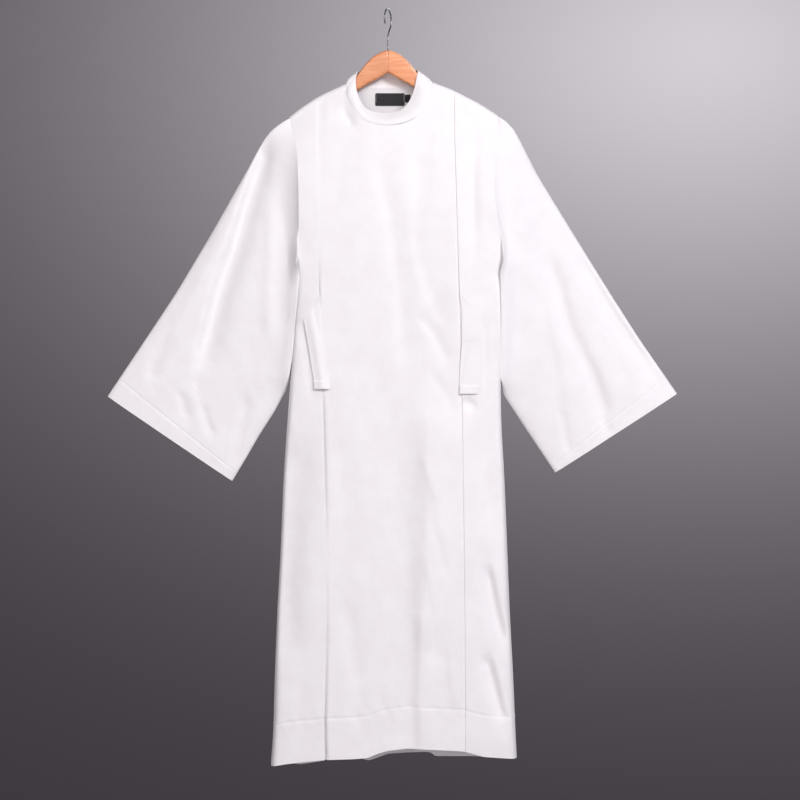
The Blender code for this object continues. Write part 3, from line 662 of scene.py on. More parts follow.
def stitches(name, rows, thread):
    """Rows of stitches. Each row is a path of points on the cloth with the outward direction at each
    point; along it lie short flattened threads of six sides that dive in at both ends."""
    centres, alongs, outs = [], [], []
    for path, out in rows:
        run = run_along(path)
        at = np.arange(STITCH_PITCH, run[-1] - STITCH_PITCH, STITCH_PITCH)
        centre = np.stack([np.interp(at, run, path[:, k]) for k in range(3)], axis=-1)
        ahead = np.stack([np.interp(at + 0.5, run, path[:, k]) for k in range(3)], axis=-1)
        centres.append(centre)
        alongs.append(unit(ahead - centre))
        outs.append(np.stack([np.interp(at, run, out[:, k]) for k in range(3)], axis=-1))
    centre, along, out = (np.concatenate(each)[:, None, None, :] for each in (centres, alongs, outs))
    side = unit(np.cross(along, out))
    place_along = np.array([-0.5, -0.28, 0.28, 0.5])[None, :, None, None] * STITCH_LENGTH
    radius = np.array([0.35, 1.0, 1.0, 0.35])[None, :, None, None] * STITCH_RADIUS
    rise = np.array([-0.35, 0.12, 0.12, -0.35])[None, :, None, None]
    turn = np.radians(np.arange(6) * 60.0)[None, None, :, None]
    points = centre + along * place_along + side * radius * np.cos(turn)
    points = points + out * (rise + radius * np.sin(turn))
    count = len(points)
    points = points.reshape(-1, 3)
    ring = np.arange(6)
    band = np.stack([ring, (ring + 1) % 6, (ring + 1) % 6 + 6, ring + 6], axis=-1)
    caps = np.array([[0, 5, 4, 3], [0, 3, 2, 1], [18, 19, 20, 21], [18, 21, 22, 23]])
    one = np.concatenate([band, band + 6, band + 12, caps])
    faces = (one[None] + 24 * np.arange(count)[:, None, None]).reshape(-1, 4)
    if signed_volume(points[:24], one) < 0.0:
        faces = faces[:, ::-1]
    return place(new_mesh(name, points, faces.tolist()), thread)


def front_centre(material):
    """Front centre panel. It lies under the two side panels at the pleats, rises to their level at the
    shoulder and neck, and sinks in a furrow beside each pleat."""
    neck = NECK_CENTRE + NECK_HALF * np.sin(np.radians(np.concatenate([
        [-90.0, -88.0, -85.0], np.linspace(-81.0, 81.0, 55), [85.0, 88.0, 90.0]])))
    neck[[0, -1]] += (-0.8, 0.8)
    middle = np.concatenate([[neck[0] - 8.0, neck[0] - 3.0], neck, [neck[-1] + 3.0, neck[-1] + 8.0]])
    even = np.linspace(0.0, 1.0, len(middle) + 2)[1:-1]

    def columns_x(z):
        left = PLEATS.at("left", z)[..., :1] + BESIDE_PLEAT
        right = PLEATS.at("right", z)[..., :1] - BESIDE_PLEAT[::-1]
        low = left[..., -1:] + even * (right[..., :1] - left[..., -1:])
        blend = smooth((-200.0 - z[..., :1]) / 400.0)
        return np.concatenate([left, middle + (low - middle) * blend, right], axis=-1)

    def lift(x, z):
        inside = np.minimum(x - PLEATS.at("left", z), PLEATS.at("right", z) - x)
        below = RIDGE.at("height", x) - z
        over_chest = smooth((inside - 6.0) / 22.0) * bump(below / 160.0)
        at_seam = smooth((inside + 2.5) / 5.0) * bump(below / 16.0)
        return -(UNDER_PLEAT + 0.2) * np.maximum(over_chest, at_seam) - trench(x, z)

    outer = panel_layer(columns_x, lambda x, z: UNDER_PLEAT + lift(x, z), -200.0, -1)
    inner = panel_layer(columns_x, lambda x, z: UNDER_PLEAT - WALL + lift(x, z), -200.0, -1)
    return wall_piece("front_centre_cloth", outer, inner, material), outer


def side_lift(x, z):
    """How far a side panel stands proud above the slanting slit over its belt tab, and how far its
    folded edge lifts beside the slit."""
    def above(slit):
        slit_x, slit_z, slope = slit
        return np.where(x * slit_x > 0, z - slit_z - slope * (x - slit_x), 1e3)

    over_left, over_right = above(LEFT_SLIT), above(RIGHT_SLIT)
    left = 3.2 * smooth(over_left / 1.6) * bump(np.clip(over_left, 0.0, None) / 42.0)
    right = 1.8 * smooth(over_right / 2.5) * bump(np.clip(over_right, 0.0, None) / 48.0)
    near_left = bump((x - PLEATS.at("left", z)) / 42.0)
    near_right = bump((x - PLEATS.at("right", z)) / 46.0)
    beside_tab = LEFT_TAB.at("left", z, 10.0) - x
    trough = np.where(beside_tab > 1.0, bump((beside_tab - 1.0) / 10.0), bump((1.0 - beside_tab) / 14.0))
    trough = trough * smooth((-648.0 - z) / 26.0) * smooth((z + 834.0) / 45.0)
    return left * near_left + right * near_right - 2.6 * trough


def front_side(name, side, material):
    """Front side panel from the side seam to the pleat, where it folds under and returns."""
    pleat = "left" if side < 0 else "right"
    spread = 1.0 - np.cos(np.radians(np.linspace(0.0, 90.0, 26)))
    half_return = PLEAT_RETURN / 2.0

    def wall_face(turns, main_layer):
        beyond, fold_layers = zip(*turns)
        past = np.array([-18.0, -half_return, -6.0, 0.0, *beyond, 0.0, -half_return, -PLEAT_RETURN])
        last = fold_layers[-1] + (fold_layers[0] - main_layer)
        flat = len(spread) + 4
        before_fold = flat + len(turns) // 2
        layers = np.array([main_layer] * flat + [*fold_layers] + [last] * 3)
        proud = (np.arange(len(layers)) < before_fold).astype(float)

        def columns_x(z):
            edge = side * (side_edge(side, z) + main_layer)[..., :1]
            fold = PLEATS.at(pleat, z)[..., :1]
            main = edge + spread * (fold + side * PLEAT_RETURN - edge)
            return np.concatenate([main, fold - side * past], axis=-1)

        return panel_layer(columns_x, lambda x, z: layers + proud * side_lift(x, z), -220.0, -1)

    outer = wall_face(FOLD_OUTSIDE, 0.0)
    inner = wall_face(FOLD_INSIDE, -WALL)
    return wall_piece(name, outer, inner, material), outer


def back_panel(material):
    """Back panel from side seam to side seam."""
    neck = NECK_CENTRE + NECK_HALF * np.concatenate([
        [-1.0, -0.98, -0.95, -0.9], np.linspace(-0.83, 0.83, 32), [0.9, 0.95, 0.98, 1.0]])
    spread = (1.0 - np.cos(np.radians(np.linspace(0.0, 180.0, 92)))) / 2.0
    spread = 0.85 * spread + 0.15 * np.linspace(0.0, 1.0, 92)

    def columns(layer_value):
        def columns_x(z):
            left = -(side_edge(-1, z) + layer_value)
            right = side_edge(1, z) + layer_value
            even = left + spread * (right - left)
            outside = (len(spread) - len(neck)) // 2
            share = np.linspace(0.0, 1.0, outside + 1)[:-1]
            before = even[..., :1] + share * (neck[0] - even[..., :1])
            after = even[..., -1:] + share[::-1] * (neck[-1] - even[..., -1:])
            inside = np.broadcast_to(neck, (*even.shape[:-1], len(neck)))
            at_top = np.concatenate([before, inside, after], axis=-1)
            return at_top + (even - at_top) * smooth((-170.0 - z[..., :1]) / 300.0)
        return columns_x

    outer = panel_layer(columns(0.0), lambda x, z: 0.0 * x, -190.0, 1)
    inner = panel_layer(columns(-WALL), lambda x, z: 0.0 * x - WALL, -190.0, 1)
    return wall_piece("back_cloth", outer, inner, material), outer


def armhole_ring(side, z, face, wall):
    """Where a sleeve starts: across and depth of the body's own edge beside the armhole."""
    edge = side * (side_edge(side, z) + ARM_CLEAR)
    inside = edge * 0.9995
    gap = np.where(face < 0, -body_y(inside, z, 0.0, -1), body_y(inside, z, 0.0, 1))
    return edge, face * np.clip(gap - SEAM - wall, 0.0, None)


def against_body(x, y, z, side, wall, share, down, face, flank):
    """Depth and place across of a sleeve beside the body. Below the armhole it swells to the body's
    depth and lies against the body's rounded side, and it reaches into the body nowhere."""
    beside = np.maximum(side * x - side_edge(x, z), 0.0)
    close = smooth((BESIDE_TOP - z) / 110.0) * smooth((z - BESIDE_END) / 60.0) * smooth(share / 0.03)
    swell = BESIDE_SWELL * np.exp(-beside / BESIDE_FADE) * close
    y = y + face * swell * np.sqrt(np.minimum(1.0, 3.0 * flank))
    inset = edge_inset(z, np.clip(np.abs(y) - 2.0, 0.0, None), side) * (1.0 - armhole_open(x, z))
    clear = side_edge(x, z) + ARM_CLEAR + (0.3 + wall) * smooth(share / 0.05) * smooth(down * 3.0) - inset
    pulled = side * x - inset * smooth(1.0 - beside / 12.0) * smooth(share / 0.03)
    return np.where(z > CLEAR_END, side * np.maximum(pulled, clear), x), y


def sleeve_folds(x, z, side, share, run):
    """Height of a sleeve's folds, of its slow ripples and of the puckers along the cuff's stitched
    line; run is the distance from the top edge."""
    cuff = (share - 1.0) * SLEEVE_LENGTH + CUFF_DEEP
    folds = fold_height(x, z, SLEEVE_FOLDS)
    folds += ripple(0.8 * x + 0.6 * side * z, z - 0.4 * side * x, SEED + 40 + side, 90.0, 420.0, 0.9)
    folds += ripple(x, z, SEED + 50 + side, 34.0, 110.0, 0.25)
    pucker = np.sin(run / 5.1 + 2.0 * np.sin(run / 29.0)) * bump((cuff + 3.0) / 14.0)
    return folds + 0.35 * pucker - 0.8 * bump(cuff / 2.4) + 0.4 * smooth(cuff / 5.0)


def sleeve_ring(table, side, shares, wall):
    """Rings of a sleeve. Each runs down the front layer from the top edge to the under edge and back
    up the rear layer; the first follows the armhole and the later ones are flattened ovals."""
    turn = np.linspace(0.0, 2.0 * np.pi, 140, endpoint=False)
    face = np.where(turn < np.pi, -1.0, 1.0)
    flank = np.abs(np.sin(turn))
    share = shares[:, None]
    top_x, top_z, under_x, under_z, deep = (
        table.at(name, share, 0.03) for name in ("top_x", "top_z", "under_x", "under_z", "deep"))
    length = np.hypot(under_x - top_x, under_z - top_z)
    inset = wall / length
    down = inset + (1.0 - np.cos(turn)) / 2.0 * (1.0 - 2.0 * inset)
    x = top_x + down * (under_x - top_x)
    z = top_z + down * (under_z - top_z)
    y = face * flank ** (0.16 + 0.54 * smooth(share / 0.28)) * (deep - wall)
    first_x, first_y = armhole_ring(side, z[0], face, wall)
    settle = smooth(share / 0.07)
    x = first_x + (x - first_x) * settle
    y = first_y + (y - first_y) * settle
    z = z[0] + (z - z[0]) * settle
    x, y = against_body(x, y, z, side, wall, share, down, face, flank)
    folds = sleeve_folds(x, z, side, share, down * length)
    folds = folds * np.minimum(1.0, 1.6 * flank) * smooth(share / 0.12)
    return np.stack([x, y + face * folds, z], axis=-1)


def sleeve_shares():
    """Shares of the way from armhole to cuff: close at both ends and along the cuff's stitched line."""
    near_line = 1.0 + (np.append(LINE_ROWS, 10.0) - CUFF_DEEP) / SLEEVE_LENGTH
    first = [0.0, 0.006, 0.012, 0.02, 0.03, 0.04, 0.05, 0.06, 0.07, 0.08, 0.09, 0.1]
    main = np.linspace(0.107, near_line[0] - 0.005, 118)
    return np.concatenate([first, main, near_line, np.linspace(near_line[-1] + 0.007, 1.0, 8)])


def sleeve(name, side, material):
    """Wide straight sleeve: an open tube from the armhole to the cuff."""
    table = LEFT_SLEEVE if side < 0 else RIGHT_SLEEVE
    shares = sleeve_shares()
    outer = sleeve_ring(table, side, shares, 0.0)
    inner = sleeve_ring(table, side, shares, WALL)
    return wall_piece(name, outer, inner, material, tube=True), outer


def collar_face(angles, heights, push):
    """One face of the collar band: lines from the neck seam to the collar's top edge, slightly bowed,
    moved outwards in plan by push."""
    wrapped = (angles + 180.0) % 360.0 - 180.0
    radians = np.radians(wrapped)
    seam_x = NECK_CENTRE + (NECK_HALF - COLLAR_INSET) * np.sin(radians)
    in_front = np.cos(radians) > 0.0
    panel_x = NECK_CENTRE + NECK_HALF * np.sin(radians)
    seam_z = np.where(in_front, neck_z(panel_x, -1) - 0.2, neck_z(panel_x, 1) - 1.2)
    seam_y = np.where(in_front, body_y(seam_x, seam_z, -0.4, -1), body_y(seam_x, seam_z, -0.4, 1))
    top = np.stack([COLLAR_TOP.at(name, wrapped, 7.0) for name in ("x", "y", "z")], axis=-1)
    seam = np.stack([seam_x, seam_y, seam_z], axis=-1)
    along = np.gradient(seam, axis=0)
    out = unit(np.stack([-along[:, 1], along[:, 0], 0.0 * along[:, 0]], axis=-1))
    toward = np.stack([seam_x - NECK_CENTRE, seam_y, 0.0 * seam_x], axis=-1)
    out *= np.sign(np.sum(out * toward, axis=1))[:, None]
    lap = COLLAR_LAP * smooth((angles - 352.0) / 26.0)
    height = heights[:, None]
    bow = 3.4 * np.sin(np.pi * height ** 0.85) ** 1.5 - 0.5 * bump((height - 0.10) / 0.05)
    bow = bow - 0.5 * bump((height - 0.90) / 0.05)
    uneven = 0.8 * np.sin(radians * 7.0 + 0.6) * np.sin(np.pi * height) ** 2
    shift = push + lap + bow + uneven
    return seam + (top - seam) * height[..., None] + out * shift[..., None]


def collar(material):
    """Stand collar band whose end laps over its beginning in front."""
    angles = np.concatenate([np.linspace(COLLAR_START, 78.0, 36), np.linspace(79.0, 101.0, 34),
                             np.linspace(103.0, 257.0, 78), np.linspace(259.0, 281.0, 34),
                             np.linspace(282.5, COLLAR_END, 72)])
    heights = np.concatenate([[0.0, 0.03, 0.06, 0.09, 0.12, 0.16], np.linspace(0.22, 0.78, 11),
                              [0.84, 0.88, 0.91, 0.94, 0.97, 1.0]])
    wall = np.full_like(angles, COLLAR_HALF_WALL)
    outer = collar_face(angles, heights, wall)
    inner = collar_face(angles, heights, -wall)
    return wall_piece("collar_cloth", outer, inner, material), outer


def tab_layer(table, side, x, z, level):
    """How high a belt tab lies: its outer edge dips, a crease beside it stands proud, the end is
    doubled and curls up a little."""
    left, right, crease = (table.at(name, z, 10.0) for name in ("left", "right", "crease"))
    bottom = LEFT_TAB_END if side < 0 else RIGHT_TAB_END
    curl = smooth((bottom + 26.0 - z) / 24.0)
    if side < 0:
        rise = 0.6 + 2.6 * smooth((x - left) / (crease - left)) ** 1.5
        fall = 6.0 * smooth((x - crease) / (right - crease)) * smooth((-606.0 - z) / 30.0)
        rise = rise * smooth((-620.0 - z) / 60.0) - fall * smooth((z + 812.0) / 30.0)
        curl = 2.0 * curl
    else:
        rise = 0.8 * smooth((right - x) / 24.0) * smooth((-612.0 - z) / 40.0)
        rise += 0.6 * smooth((z + 700.0) / 5.0) * smooth((-620.0 - z) / 20.0)
        rise -= 1.5 * bump((x - crease - 0.16 * (z + 700.0)) / 5.0) * smooth((-700.0 - z) / 20.0)
        curl = 1.6 * curl
    doubled = 0.8 * smooth((bottom + 18.0 - z) / 2.0) - 0.7 * bump((z - bottom - 18.0) / 2.0)
    return level + rise + curl + doubled - 0.6 * bump((z - bottom - 8.0) / 1.8)


def belt_tab(name, side, material):
    """Belt tab lying on the front, its slanting upper end under the side panel's slit."""
    table = LEFT_TAB if side < 0 else RIGHT_TAB
    top_left, top_right = LEFT_TAB_TOP if side < 0 else RIGHT_TAB_TOP
    bottom = LEFT_TAB_END if side < 0 else RIGHT_TAB_END
    share = np.linspace(0.0, 1.0, 26)
    rows = np.linspace(0.0, 1.0, 100)[:, None]
    top = top_left + share * (top_right - top_left)
    z = top + (bottom - top) * rows
    x = table.at("left", z, 6.0) + share * (table.at("right", z, 6.0) - table.at("left", z, 6.0))
    faces = []
    for level in TAB_LAYERS:
        layer = tab_layer(table, side, x, z, level)
        faces.append(np.stack([x, body_y(x, z, 0.0, -1) - layer, z], axis=-1))
    return wall_piece(name, faces[0], faces[1], material), faces[0]


def label(name, edges, material):
    """Woven label on the inside of the back: a thin sheet with rounded corners that follows the cloth."""
    left, right, top, bottom = edges
    u = np.linspace(-1.0, 1.0, 41)[None, :]
    v = np.linspace(1.0, -1.0, 19)[:, None]
    half_wide, half_high = (right - left) / 2.0, (top - bottom) / 2.0
    far_x = np.clip(np.abs(u) * half_wide - half_wide + LABEL_CORNER, 0.0, LABEL_CORNER)
    trim = (LABEL_CORNER - np.sqrt(LABEL_CORNER ** 2 - far_x ** 2)) / half_high
    x = (left + right) / 2.0 + u * half_wide + 0.0 * v
    z = (top + bottom) / 2.0 + v * (1.0 - trim) * half_high
    faces = [np.stack([x, body_y(x, z, layer, 1), z], axis=-1) for layer in LABEL_LAYERS]
    return wall_piece(name, faces[1], faces[0], material), faces[1]


def ring_piece(name, rings, material):
    """Closed solid through rings of points, each end closed by a small fan."""
    count, around = rings.shape[:2]
    ends = rings[[0, -1]].mean(axis=1)
    points = np.concatenate([rings.reshape(-1, 3), ends])
    index = np.arange(count * around).reshape(count, around)
    wrapped = np.concatenate([index, index[:, :1]], axis=1)
    quads = grid_faces(wrapped)
    first, last = count * around, count * around + 1
    start = np.stack([wrapped[0, 1:], wrapped[0, :-1], np.full(around, first)], axis=-1)
    end = np.stack([wrapped[-1, :-1], wrapped[-1, 1:], np.full(around, last)], axis=-1)
    faces = quads.tolist() + start.tolist() + end.tolist()
    if signed_volume(points, quads) < 0.0:
        faces = [face[::-1] for face in faces]
    return place(new_mesh(name, points, faces), material)


def hanger_arm(name, side, material):
    """One half of the wooden hanger: rounded sections from the middle joint to the tip."""
    tip_start = HANGER_TIP - HANGER_TIP_ROUND
    tip_rows = tip_start + HANGER_TIP_ROUND * np.sin(np.radians(np.linspace(10.0, 90.0, 9)))
    out = np.concatenate([[0.15, 0.6, 1.6], np.linspace(4.0, tip_start, 84), tip_rows])
    on_ridge = RIDGE.at("height", side * out) - HANGER_BELOW_RIDGE
    blend = smooth((out - 86.0) / 10.0)
    top = HANGER_HUMP.at("top", out, 7.0) * (1.0 - blend) + on_ridge * blend
    bottom = HANGER_HUMP.at("bottom", out, 3.0) * (1.0 - blend) + (on_ridge - HANGER_DEEP) * blend
    tip = np.clip((out - tip_start) / HANGER_TIP_ROUND, 0.0, 1.0)
    round_off = 1.0 - np.sqrt(1.0 - 0.9 * tip ** 2)
    joint = 0.8 * bump(out / 0.9)
    half = (top - bottom) / 2.0 * (1.0 - round_off) - joint
    middle = (top + bottom) / 2.0
    turn = np.radians(np.linspace(0.0, 360.0, 40, endpoint=False) + 4.5)
    corner = HANGER_HALF_THICK / RIDGE_LEAN
    rise = np.cos(turn)
    straight = np.clip(half - corner, 0.5, None)[:, None] * np.clip(rise * 6.0, -1.0, 1.0)
    ring_z = middle[:, None] + straight + np.minimum(half, corner)[:, None] * rise
    ring_y = (HANGER_HALF_THICK * (1.0 - 0.5 * round_off) - joint)[:, None] * np.sin(turn)
    ring_x = side * out[:, None] + 0.0 * ring_z
    return ring_piece(name, np.stack([ring_x, ring_y, ring_z], axis=-1), material)


def hook_path():
    """Middle line of the hook's wire: a stem, a bend out of the middle and a loop over the top, in an
    upright plane turned about the stem."""
    centre = -LOOP_RADIUS + WIRE_RADIUS
    stem = np.stack([np.zeros(9), np.linspace(WOOD_TOP + PANEL_GAP, STEM_TOP, 9)], axis=-1)
    start = np.radians(LOOP_FROM)
    loop_start = np.array([LOOP_RADIUS * np.cos(start), centre + LOOP_RADIUS * np.sin(start)])
    heading = np.array([-np.sin(start), np.cos(start)])
    share = np.linspace(0.0, 1.0, 30)[1:-1, None]
    corners = (stem[-1], stem[-1] + (0.0, 9.0), loop_start - 9.0 * heading, loop_start)
    weights = ((1 - share) ** 3, 3 * share * (1 - share) ** 2, 3 * share ** 2 * (1 - share), share ** 3)
    bend = sum(weight * corner for weight, corner in zip(weights, corners))
    turn = np.linspace(start, np.radians(LOOP_TO), 90)[:, None]
    loop = np.concatenate([LOOP_RADIUS * np.cos(turn), centre + LOOP_RADIUS * np.sin(turn)], axis=1)
    flat = np.concatenate([stem, bend, loop])
    plan = np.radians(LOOP_TURN)
    return np.stack([flat[:, 0] * np.cos(plan), flat[:, 0] * np.sin(plan), flat[:, 1]], axis=-1)


def hook(material):
    """Wire hook: a round section carried along the middle line, its end rounded off."""
    path = hook_path()
    along = unit(np.gradient(path, axis=0))
    plan = np.radians(LOOP_TURN)
    across = np.array([-np.sin(plan), np.cos(plan), 0.0])
    second = np.cross(along, across)
    run = run_along(path)
    to_end = np.clip((run[-1] - run) / WIRE_RADIUS, 0.0, 1.0)
    radius = WIRE_RADIUS * np.sqrt(np.clip(1.0 - 0.8 * (1.0 - to_end) ** 2, 0.0, 1.0))
    turn = np.radians(np.linspace(0.0, 360.0, 20, endpoint=False))[None, :, None]
    rings = path[:, None, :] + radius[:, None, None] * (
        np.cos(turn) * across + np.sin(turn) * second[:, None, :])
    return ring_piece("hanger_hook_wire", rings, material)


class Signal:
    """The output of a node, in one node tree. The usual operators add Math nodes."""

    def __init__(self, nodes, socket):
        self.nodes = nodes
        self.socket = socket

    def math(self, operation, *terms):
        return self.nodes.node("Math", {"operation": operation}, dict(enumerate(terms)))

    def __add__(self, other):
        return self.math("ADD", self, other)

    def __radd__(self, other):
        return self.math("ADD", other, self)

    def __mul__(self, other):
        return self.math("MULTIPLY", self, other)

    def __pow__(self, other):
        return self.math("POWER", self, other)

    def __rpow__(self, other):
        return self.math("POWER", other, self)

    def sine(self):
        return self.math("SINE", self)

    def larger(self, other):
        return self.math("MAXIMUM", self, other)

    def step(self, low, high):
        """0 below low, 1 above high and soft between them."""
        return self.nodes.node("MapRange", {"interpolation_type": "SMOOTHSTEP"}, {
            "Value": self, "From Min": low, "From Max": high})

    def axis(self, number):
        """One component of a vector signal: 0, 1 or 2 for X, Y or Z."""
        return self.nodes.node("SeparateXYZ", {}, {"Vector": self}, out=number)


class Nodes:
    """A node tree that is filled by calls."""

    def __init__(self, tree):
        self.tree = tree

    def node(self, kind, settings, sockets, out=0):
        """Add a node: its type, its settings, then the values or signals of its sockets."""
        node = self.tree.nodes.new("ShaderNode" + kind)
        for name, value in settings.items():
            setattr(node, name, value)
        for key, value in sockets.items():
            self.plug(node.inputs[key], value)
        return Signal(self, node.outputs[out])

    def plug(self, socket, value):
        if isinstance(value, Signal):
            self.tree.links.new(value.socket, socket)
        elif socket.type == "RGBA":
            socket.default_value = (*value, 1.0)
        else:
            socket.default_value = value

    def spot(self, output="Object"):
        """Where a point lies on the object, or the direction in which a ray leaves the scene."""
        return self.node("TexCoord", {}, {}, out=output)

    def stretched(self, vector, *scale):
        return self.node("Mapping", {}, {"Vector": vector, "Scale": scale})

    def noise(self, vector, scale, detail=2.0):
        return self.node("TexNoise", {}, {"Vector": vector, "Scale": scale, "Detail": detail})

    def mix(self, share, first, second):
        """Colour between two colours or colour signals."""
        sockets = {"Factor": share, 6: first, 7: second}
        return self.node("Mix", {"data_type": "RGBA"}, sockets, out=2)


class Finish(Nodes):
    """A material's node tree with one Principled shader."""

    def __init__(self, name, colour, roughness, **constants):
        self.material = bpy.data.materials.new(name)
        self.material.use_nodes = True
        super().__init__(self.material.node_tree)
        self.set(Base_Color=colour, Roughness=roughness, **constants)

    def along_cloth(self):
        """Distance across and along the cloth, in metres."""
        return self.node("UVMap", {"uv_map": "cloth"}, {})

    def raised(self, height, distance, strength=1.0, under=None):
        """Normal of a surface raised by a height signal, in metres."""
        sockets = {"Height": height, "Distance": distance, "Strength": strength}
        if under is not None:
            sockets["Normal"] = under
        return self.node("Bump", {}, sockets)

    def set(self, **values):
        for name, value in values.items():
            self.plug(self.tree.nodes["Principled BSDF"].inputs[name.replace("_", " ")], value)
        return self.material


def white_cloth():
    """White plain-woven cloth: fine threads across and along, faint slubs and a soft rumple."""
    cloth = Finish("alb_white_cloth", (0.8, 0.79, 0.8), 0.86, Sheen_Weight=0.12, Sheen_Roughness=0.5)
    along = cloth.along_cloth()
    threads = (along.axis(0) * 5200.0).sine() * (along.axis(1) * 5600.0).sine()
    slubs = cloth.noise(cloth.stretched(along, 1400.0, 90.0, 1.0), 1.0)
    rumple = cloth.noise(cloth.spot(), 24.0, 3.0)
    mottle = cloth.noise(cloth.spot(), 70.0)
    tone = rumple * 0.6 + slubs * 0.4
    colour = cloth.mix(tone.step(0.3, 0.7), (0.835, 0.818, 0.832), (0.872, 0.862, 0.872))
    soft = cloth.raised(rumple + mottle * 0.25, 0.0011)
    weave = cloth.raised(threads * 0.5 + slubs * 0.8, 0.00012, 0.8, soft)
    return cloth.set(Base_Color=colour, Normal=weave)


def stitch_thread():
    """White sewing thread with a twist."""
    thread = Finish("sewing_thread", (0.84, 0.83, 0.84), 0.6)
    twist = thread.noise(thread.spot(), 2600.0, 1.0)
    colour = thread.mix(twist, (0.74, 0.73, 0.74), (0.88, 0.87, 0.88))
    return thread.set(Base_Color=colour, Normal=thread.raised(twist, 0.0001))


def label_cloth():
    """Black woven ribbon with fine ribs and a satin lustre."""
    ribbon = Finish("black_woven_label", (0.012, 0.012, 0.014), 0.55, Sheen_Weight=0.1)
    along = ribbon.along_cloth()
    ribs = (along.axis(0) * 9000.0).sine() * 0.5 + (along.axis(1) * 6000.0).sine() * 0.5
    wear = ribbon.noise(ribbon.spot(), 900.0)
    colour = ribbon.mix(wear.step(0.35, 0.75), (0.008, 0.008, 0.010), (0.022, 0.021, 0.024))
    return ribbon.set(Base_Color=colour, Normal=ribbon.raised(ribs + wear, 0.00012))


def hanger_wood(name, painted_light):
    """Varnished wood: pale and dark grain lines that run along the arm, with slow waves across it. Both
    grain colours are scaled by the given level, which is painted light above 1 and painted shade below 1.
    """
    wood = Finish(name, (0.72, 0.34, 0.15), 0.38, Coat_Weight=0.35, Coat_Roughness=0.22)
    spot = wood.spot()
    slow = wood.noise(wood.stretched(spot, 5.0, 16.0, 20.0), 1.0, 3.0)
    fine = wood.noise(wood.stretched(spot, 26.0, 420.0, 520.0), 1.0, 3.0)
    grain = wood.noise(wood.stretched(spot, 6.0, 60.0, 90.0), 1.0, 4.0)
    rings = ((grain * 2.0 + slow * 2.4) * 14.0).sine() * 0.5 + 0.5
    mask = rings * 0.3 + fine * 0.35 + slow * 0.35
    # The level paints light and shade into the wood's colour: below 1 is painted shade, above 1 is painted
    # light.
    dark = (0.68 * painted_light, 0.25 * painted_light, 0.105 * painted_light)
    pale = (0.84 * painted_light, 0.37 * painted_light, 0.175 * painted_light)
    colour = wood.mix(mask.step(0.15, 0.8), dark, pale)
    grooves = wood.raised(fine, 0.00025, 0.6)
    return wood.set(Base_Color=colour, Roughness=0.34 + fine * 0.18, Normal=grooves)


def hook_metal():
    """Drawn steel wire with faint lines along it."""
    metal = Finish("hook_steel", (0.3, 0.3, 0.31), 0.34, Metallic=1.0)
    worn = metal.noise(metal.spot(), 90.0, 3.0)
    colour = metal.mix(worn.step(0.3, 0.7), (0.22, 0.22, 0.23), (0.36, 0.36, 0.37))
    return metal.set(Base_Color=colour, Roughness=0.3 + worn * 0.14)


def floor_paint():
    """Matt pale floor with a very faint mottle."""
    floor = Finish("studio_floor", (0.62, 0.61, 0.62), 0.9)
    cloud = floor.noise(floor.spot(), 1.2)
    return floor.set(Base_Color=floor.mix(cloud, (0.60, 0.59, 0.60), (0.66, 0.65, 0.66)))


def stitched_row(grid, row, centre_of, columns=slice(None)):
    """Points along one row of a grid that goes over the cloth's outside, a little proud of it, with
    the outward direction, which is turned away from the centre that centre_of gives for each point."""
    row = row % len(grid)
    across = np.gradient(grid[row], axis=0)
    up = grid[max(row - 1, 0)] - grid[min(row + 1, len(grid) - 1)]
    out = np.cross(across, up)
    out /= np.linalg.norm(out, axis=1)[:, None] + 1e-9
    line, out = grid[row][columns], out[columns]
    inwards = np.sum(out * (line - centre_of(line)), axis=1)[:, None] < 0.0
    out = np.where(inwards, -out, out)
    return line + out * STITCH_LIFT, out


def nearest_row(shares, share):
    """Number of the row that lies nearest to a share."""
    return int(np.argmin(np.abs(shares - share)))


def rows_of_stitches(grids):
    """The stitched rows: the hem, both cuffs, the collar's two edges and the ends of the tabs."""
    def body_middle(line):
        return np.array([0.0, 0.0, -1480.0])

    def sleeve_middle(line):
        centre = line.mean(axis=0)
        return centre + (line - centre) * (1, 0, 1)

    hem_row = nearest_row(panel_rows(), 1.0 - HEM_DEEP / PANEL_LENGTH)
    cuff_row = nearest_row(sleeve_shares(), 1.0 - CUFF_DEEP / SLEEVE_LENGTH)
    rows = []
    for name, columns in (("front_centre", slice(11, -11)), ("front_left", slice(0, 30)),
                          ("front_right", slice(0, 30)), ("back", slice(1, -1))):
        rows.append(stitched_row(grids[name], hem_row, body_middle, columns))
    for name in ("sleeve_left", "sleeve_right"):
        rows.append(stitched_row(grids[name], cuff_row, sleeve_middle))
    for row in (3, -4):
        rows.append(stitched_row(grids["collar"], row, lambda line: line * (0, 0, 1)))
    for name in ("tab_left", "tab_right"):
        for row in (91, 96):
            rows.append(stitched_row(grids[name], row, lambda line: line + (0.0, 1.0, 0.0)))
    return rows


def label_stitches(grid):
    """White stitches down both short sides of the label."""
    rows = []
    for column in (1, -2):
        line = grid[1:-1, column]
        rows.append((line - (0.0, 0.15, 0.0), np.tile([0.0, -1.0, 0.0], (len(line), 1))))
    return rows


def area_light(name, place_at, aim, size, power, colour):
    """Soft square lamp that looks at a point, its sides level."""
    data = bpy.data.lights.new(name, "AREA")
    data.size, data.energy, data.color = size, power, colour
    lamp = bpy.data.objects.new(name, data)
    way = np.subtract(aim, place_at)
    lamp.location = place_at
    lamp.rotation_euler = (np.arctan2(np.hypot(way[0], way[1]), -way[2]), 0.0, np.arctan2(-way[0], way[1]))
    lamp.visible_camera = False
    bpy.context.scene.collection.objects.link(lamp)


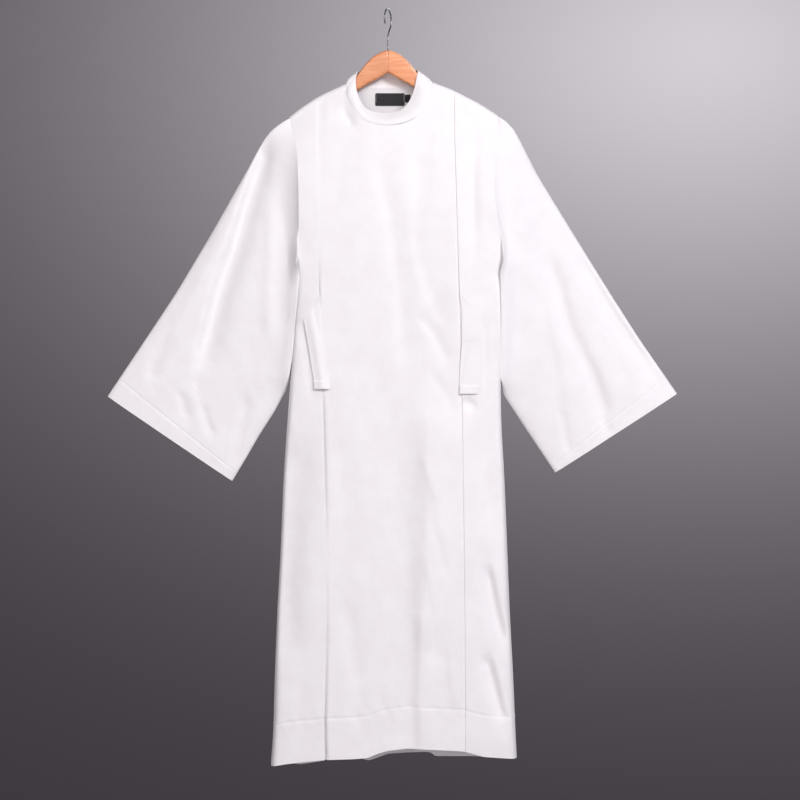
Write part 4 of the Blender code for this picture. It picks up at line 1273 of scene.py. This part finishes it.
def studio_floor():
    """Round pale floor below the robe."""
    turn = np.linspace(0.0, 2.0 * np.pi, FLOOR_SIDES, endpoint=False)
    rim = FLOOR_RADIUS * np.stack([np.cos(turn), np.sin(turn), 0.0 * turn], axis=-1) + FLOOR_AT
    mesh = bpy.data.meshes.new("studio_floor")
    mesh.from_pydata(rim.tolist(), [], [list(range(FLOOR_SIDES))])
    mesh.materials.append(floor_paint())
    floor = bpy.data.objects.new("studio_floor", mesh)
    bpy.context.scene.collection.objects.link(floor)


def surroundings():
    """Grey surroundings with a soft glow at the upper right, and paler behind the camera."""
    world = bpy.data.worlds.new("studio")
    world.use_nodes = True
    bpy.context.scene.world = world
    sky = Nodes(world.node_tree)
    way = sky.spot("Generated")
    across = (way.axis(0) + -GLOW_AT[0]) * GLOW_WIDE
    up = way.axis(2) + -GLOW_AT[1]
    far = (across * across + up * up) ** 0.5
    glow = GLOW_FADE ** ((far * (1.0 / GLOW_RADIUS)) ** 1.5)
    behind = sky.node("Clamp", {}, {"Value": way.axis(1) * -1.5 + 0.15}) * GLOW_BEHIND
    shade = sky.mix(glow.larger(behind), DARK_GREY, PALE_GREY)
    sky.plug(world.node_tree.nodes["Background"].inputs["Color"], shade)


def front_camera():
    """Level camera straight in front of the robe."""
    lens = bpy.data.cameras.new("front_camera")
    lens.sensor_width = 36.0
    lens.lens = CAMERA_LENS
    camera = bpy.data.objects.new("front_camera", lens)
    camera.location = CAMERA_AT
    camera.rotation_euler = (np.pi / 2.0, 0.0, 0.0)
    bpy.context.scene.collection.objects.link(camera)
    bpy.context.scene.camera = camera
    bpy.context.scene.view_settings.view_transform = "Standard"


def dress():
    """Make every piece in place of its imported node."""
    cloth = white_cloth()
    thread = stitch_thread()
    black = label_cloth()
    grids, pieces = {}, {}

    def keep(key, made, *nodes):
        pieces[key], grids[key] = made
        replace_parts(pieces[key], *nodes)

    sides = (("left", -1), ("right", 1))
    keep("front_centre", front_centre(cloth), "front_centre")
    for word, side in sides:
        keep("front_" + word, front_side(f"front_side_{word}_cloth", side, cloth), "front_side_" + word)
    keep("back", back_panel(cloth), "back")
    for word, side in sides:
        keep("sleeve_" + word, sleeve(f"sleeve_{word}_cloth", side, cloth), "sleeve_" + word)
    keep("collar", collar(cloth), "collar_band")
    for word, side in sides:
        keep("tab_" + word, belt_tab(f"belt_tab_{word}_cloth", side, cloth), "belt_tab_" + word)
    keep("label", label("neck_label_ribbon", NECK_LABEL, black), "neck_label")
    keep("size_tab", label("size_tab_ribbon", SIZE_TAB, black), "size_tab")
    sewing = stitches("seam_stitches", rows_of_stitches(grids), thread)
    label_sewing = stitches("label_stitches", label_stitches(grids["label"]), thread)
    # The left arm's wood is painted darker as painted shade, and the right arm's lighter as painted light.
    for name, side, painted_light in (("hanger_arm_left", -1, 0.94), ("hanger_arm_right", 1, 1.06)):
        arm = hanger_arm(name + "_wood", side, hanger_wood(name + "_grain_painted_light", painted_light))
        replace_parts(arm, name)
    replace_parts(hook(hook_metal()), "hanger_hook")


studio_floor()
surroundings()
for lamp in LAMPS:
    area_light(*lamp)
front_camera()
dress()
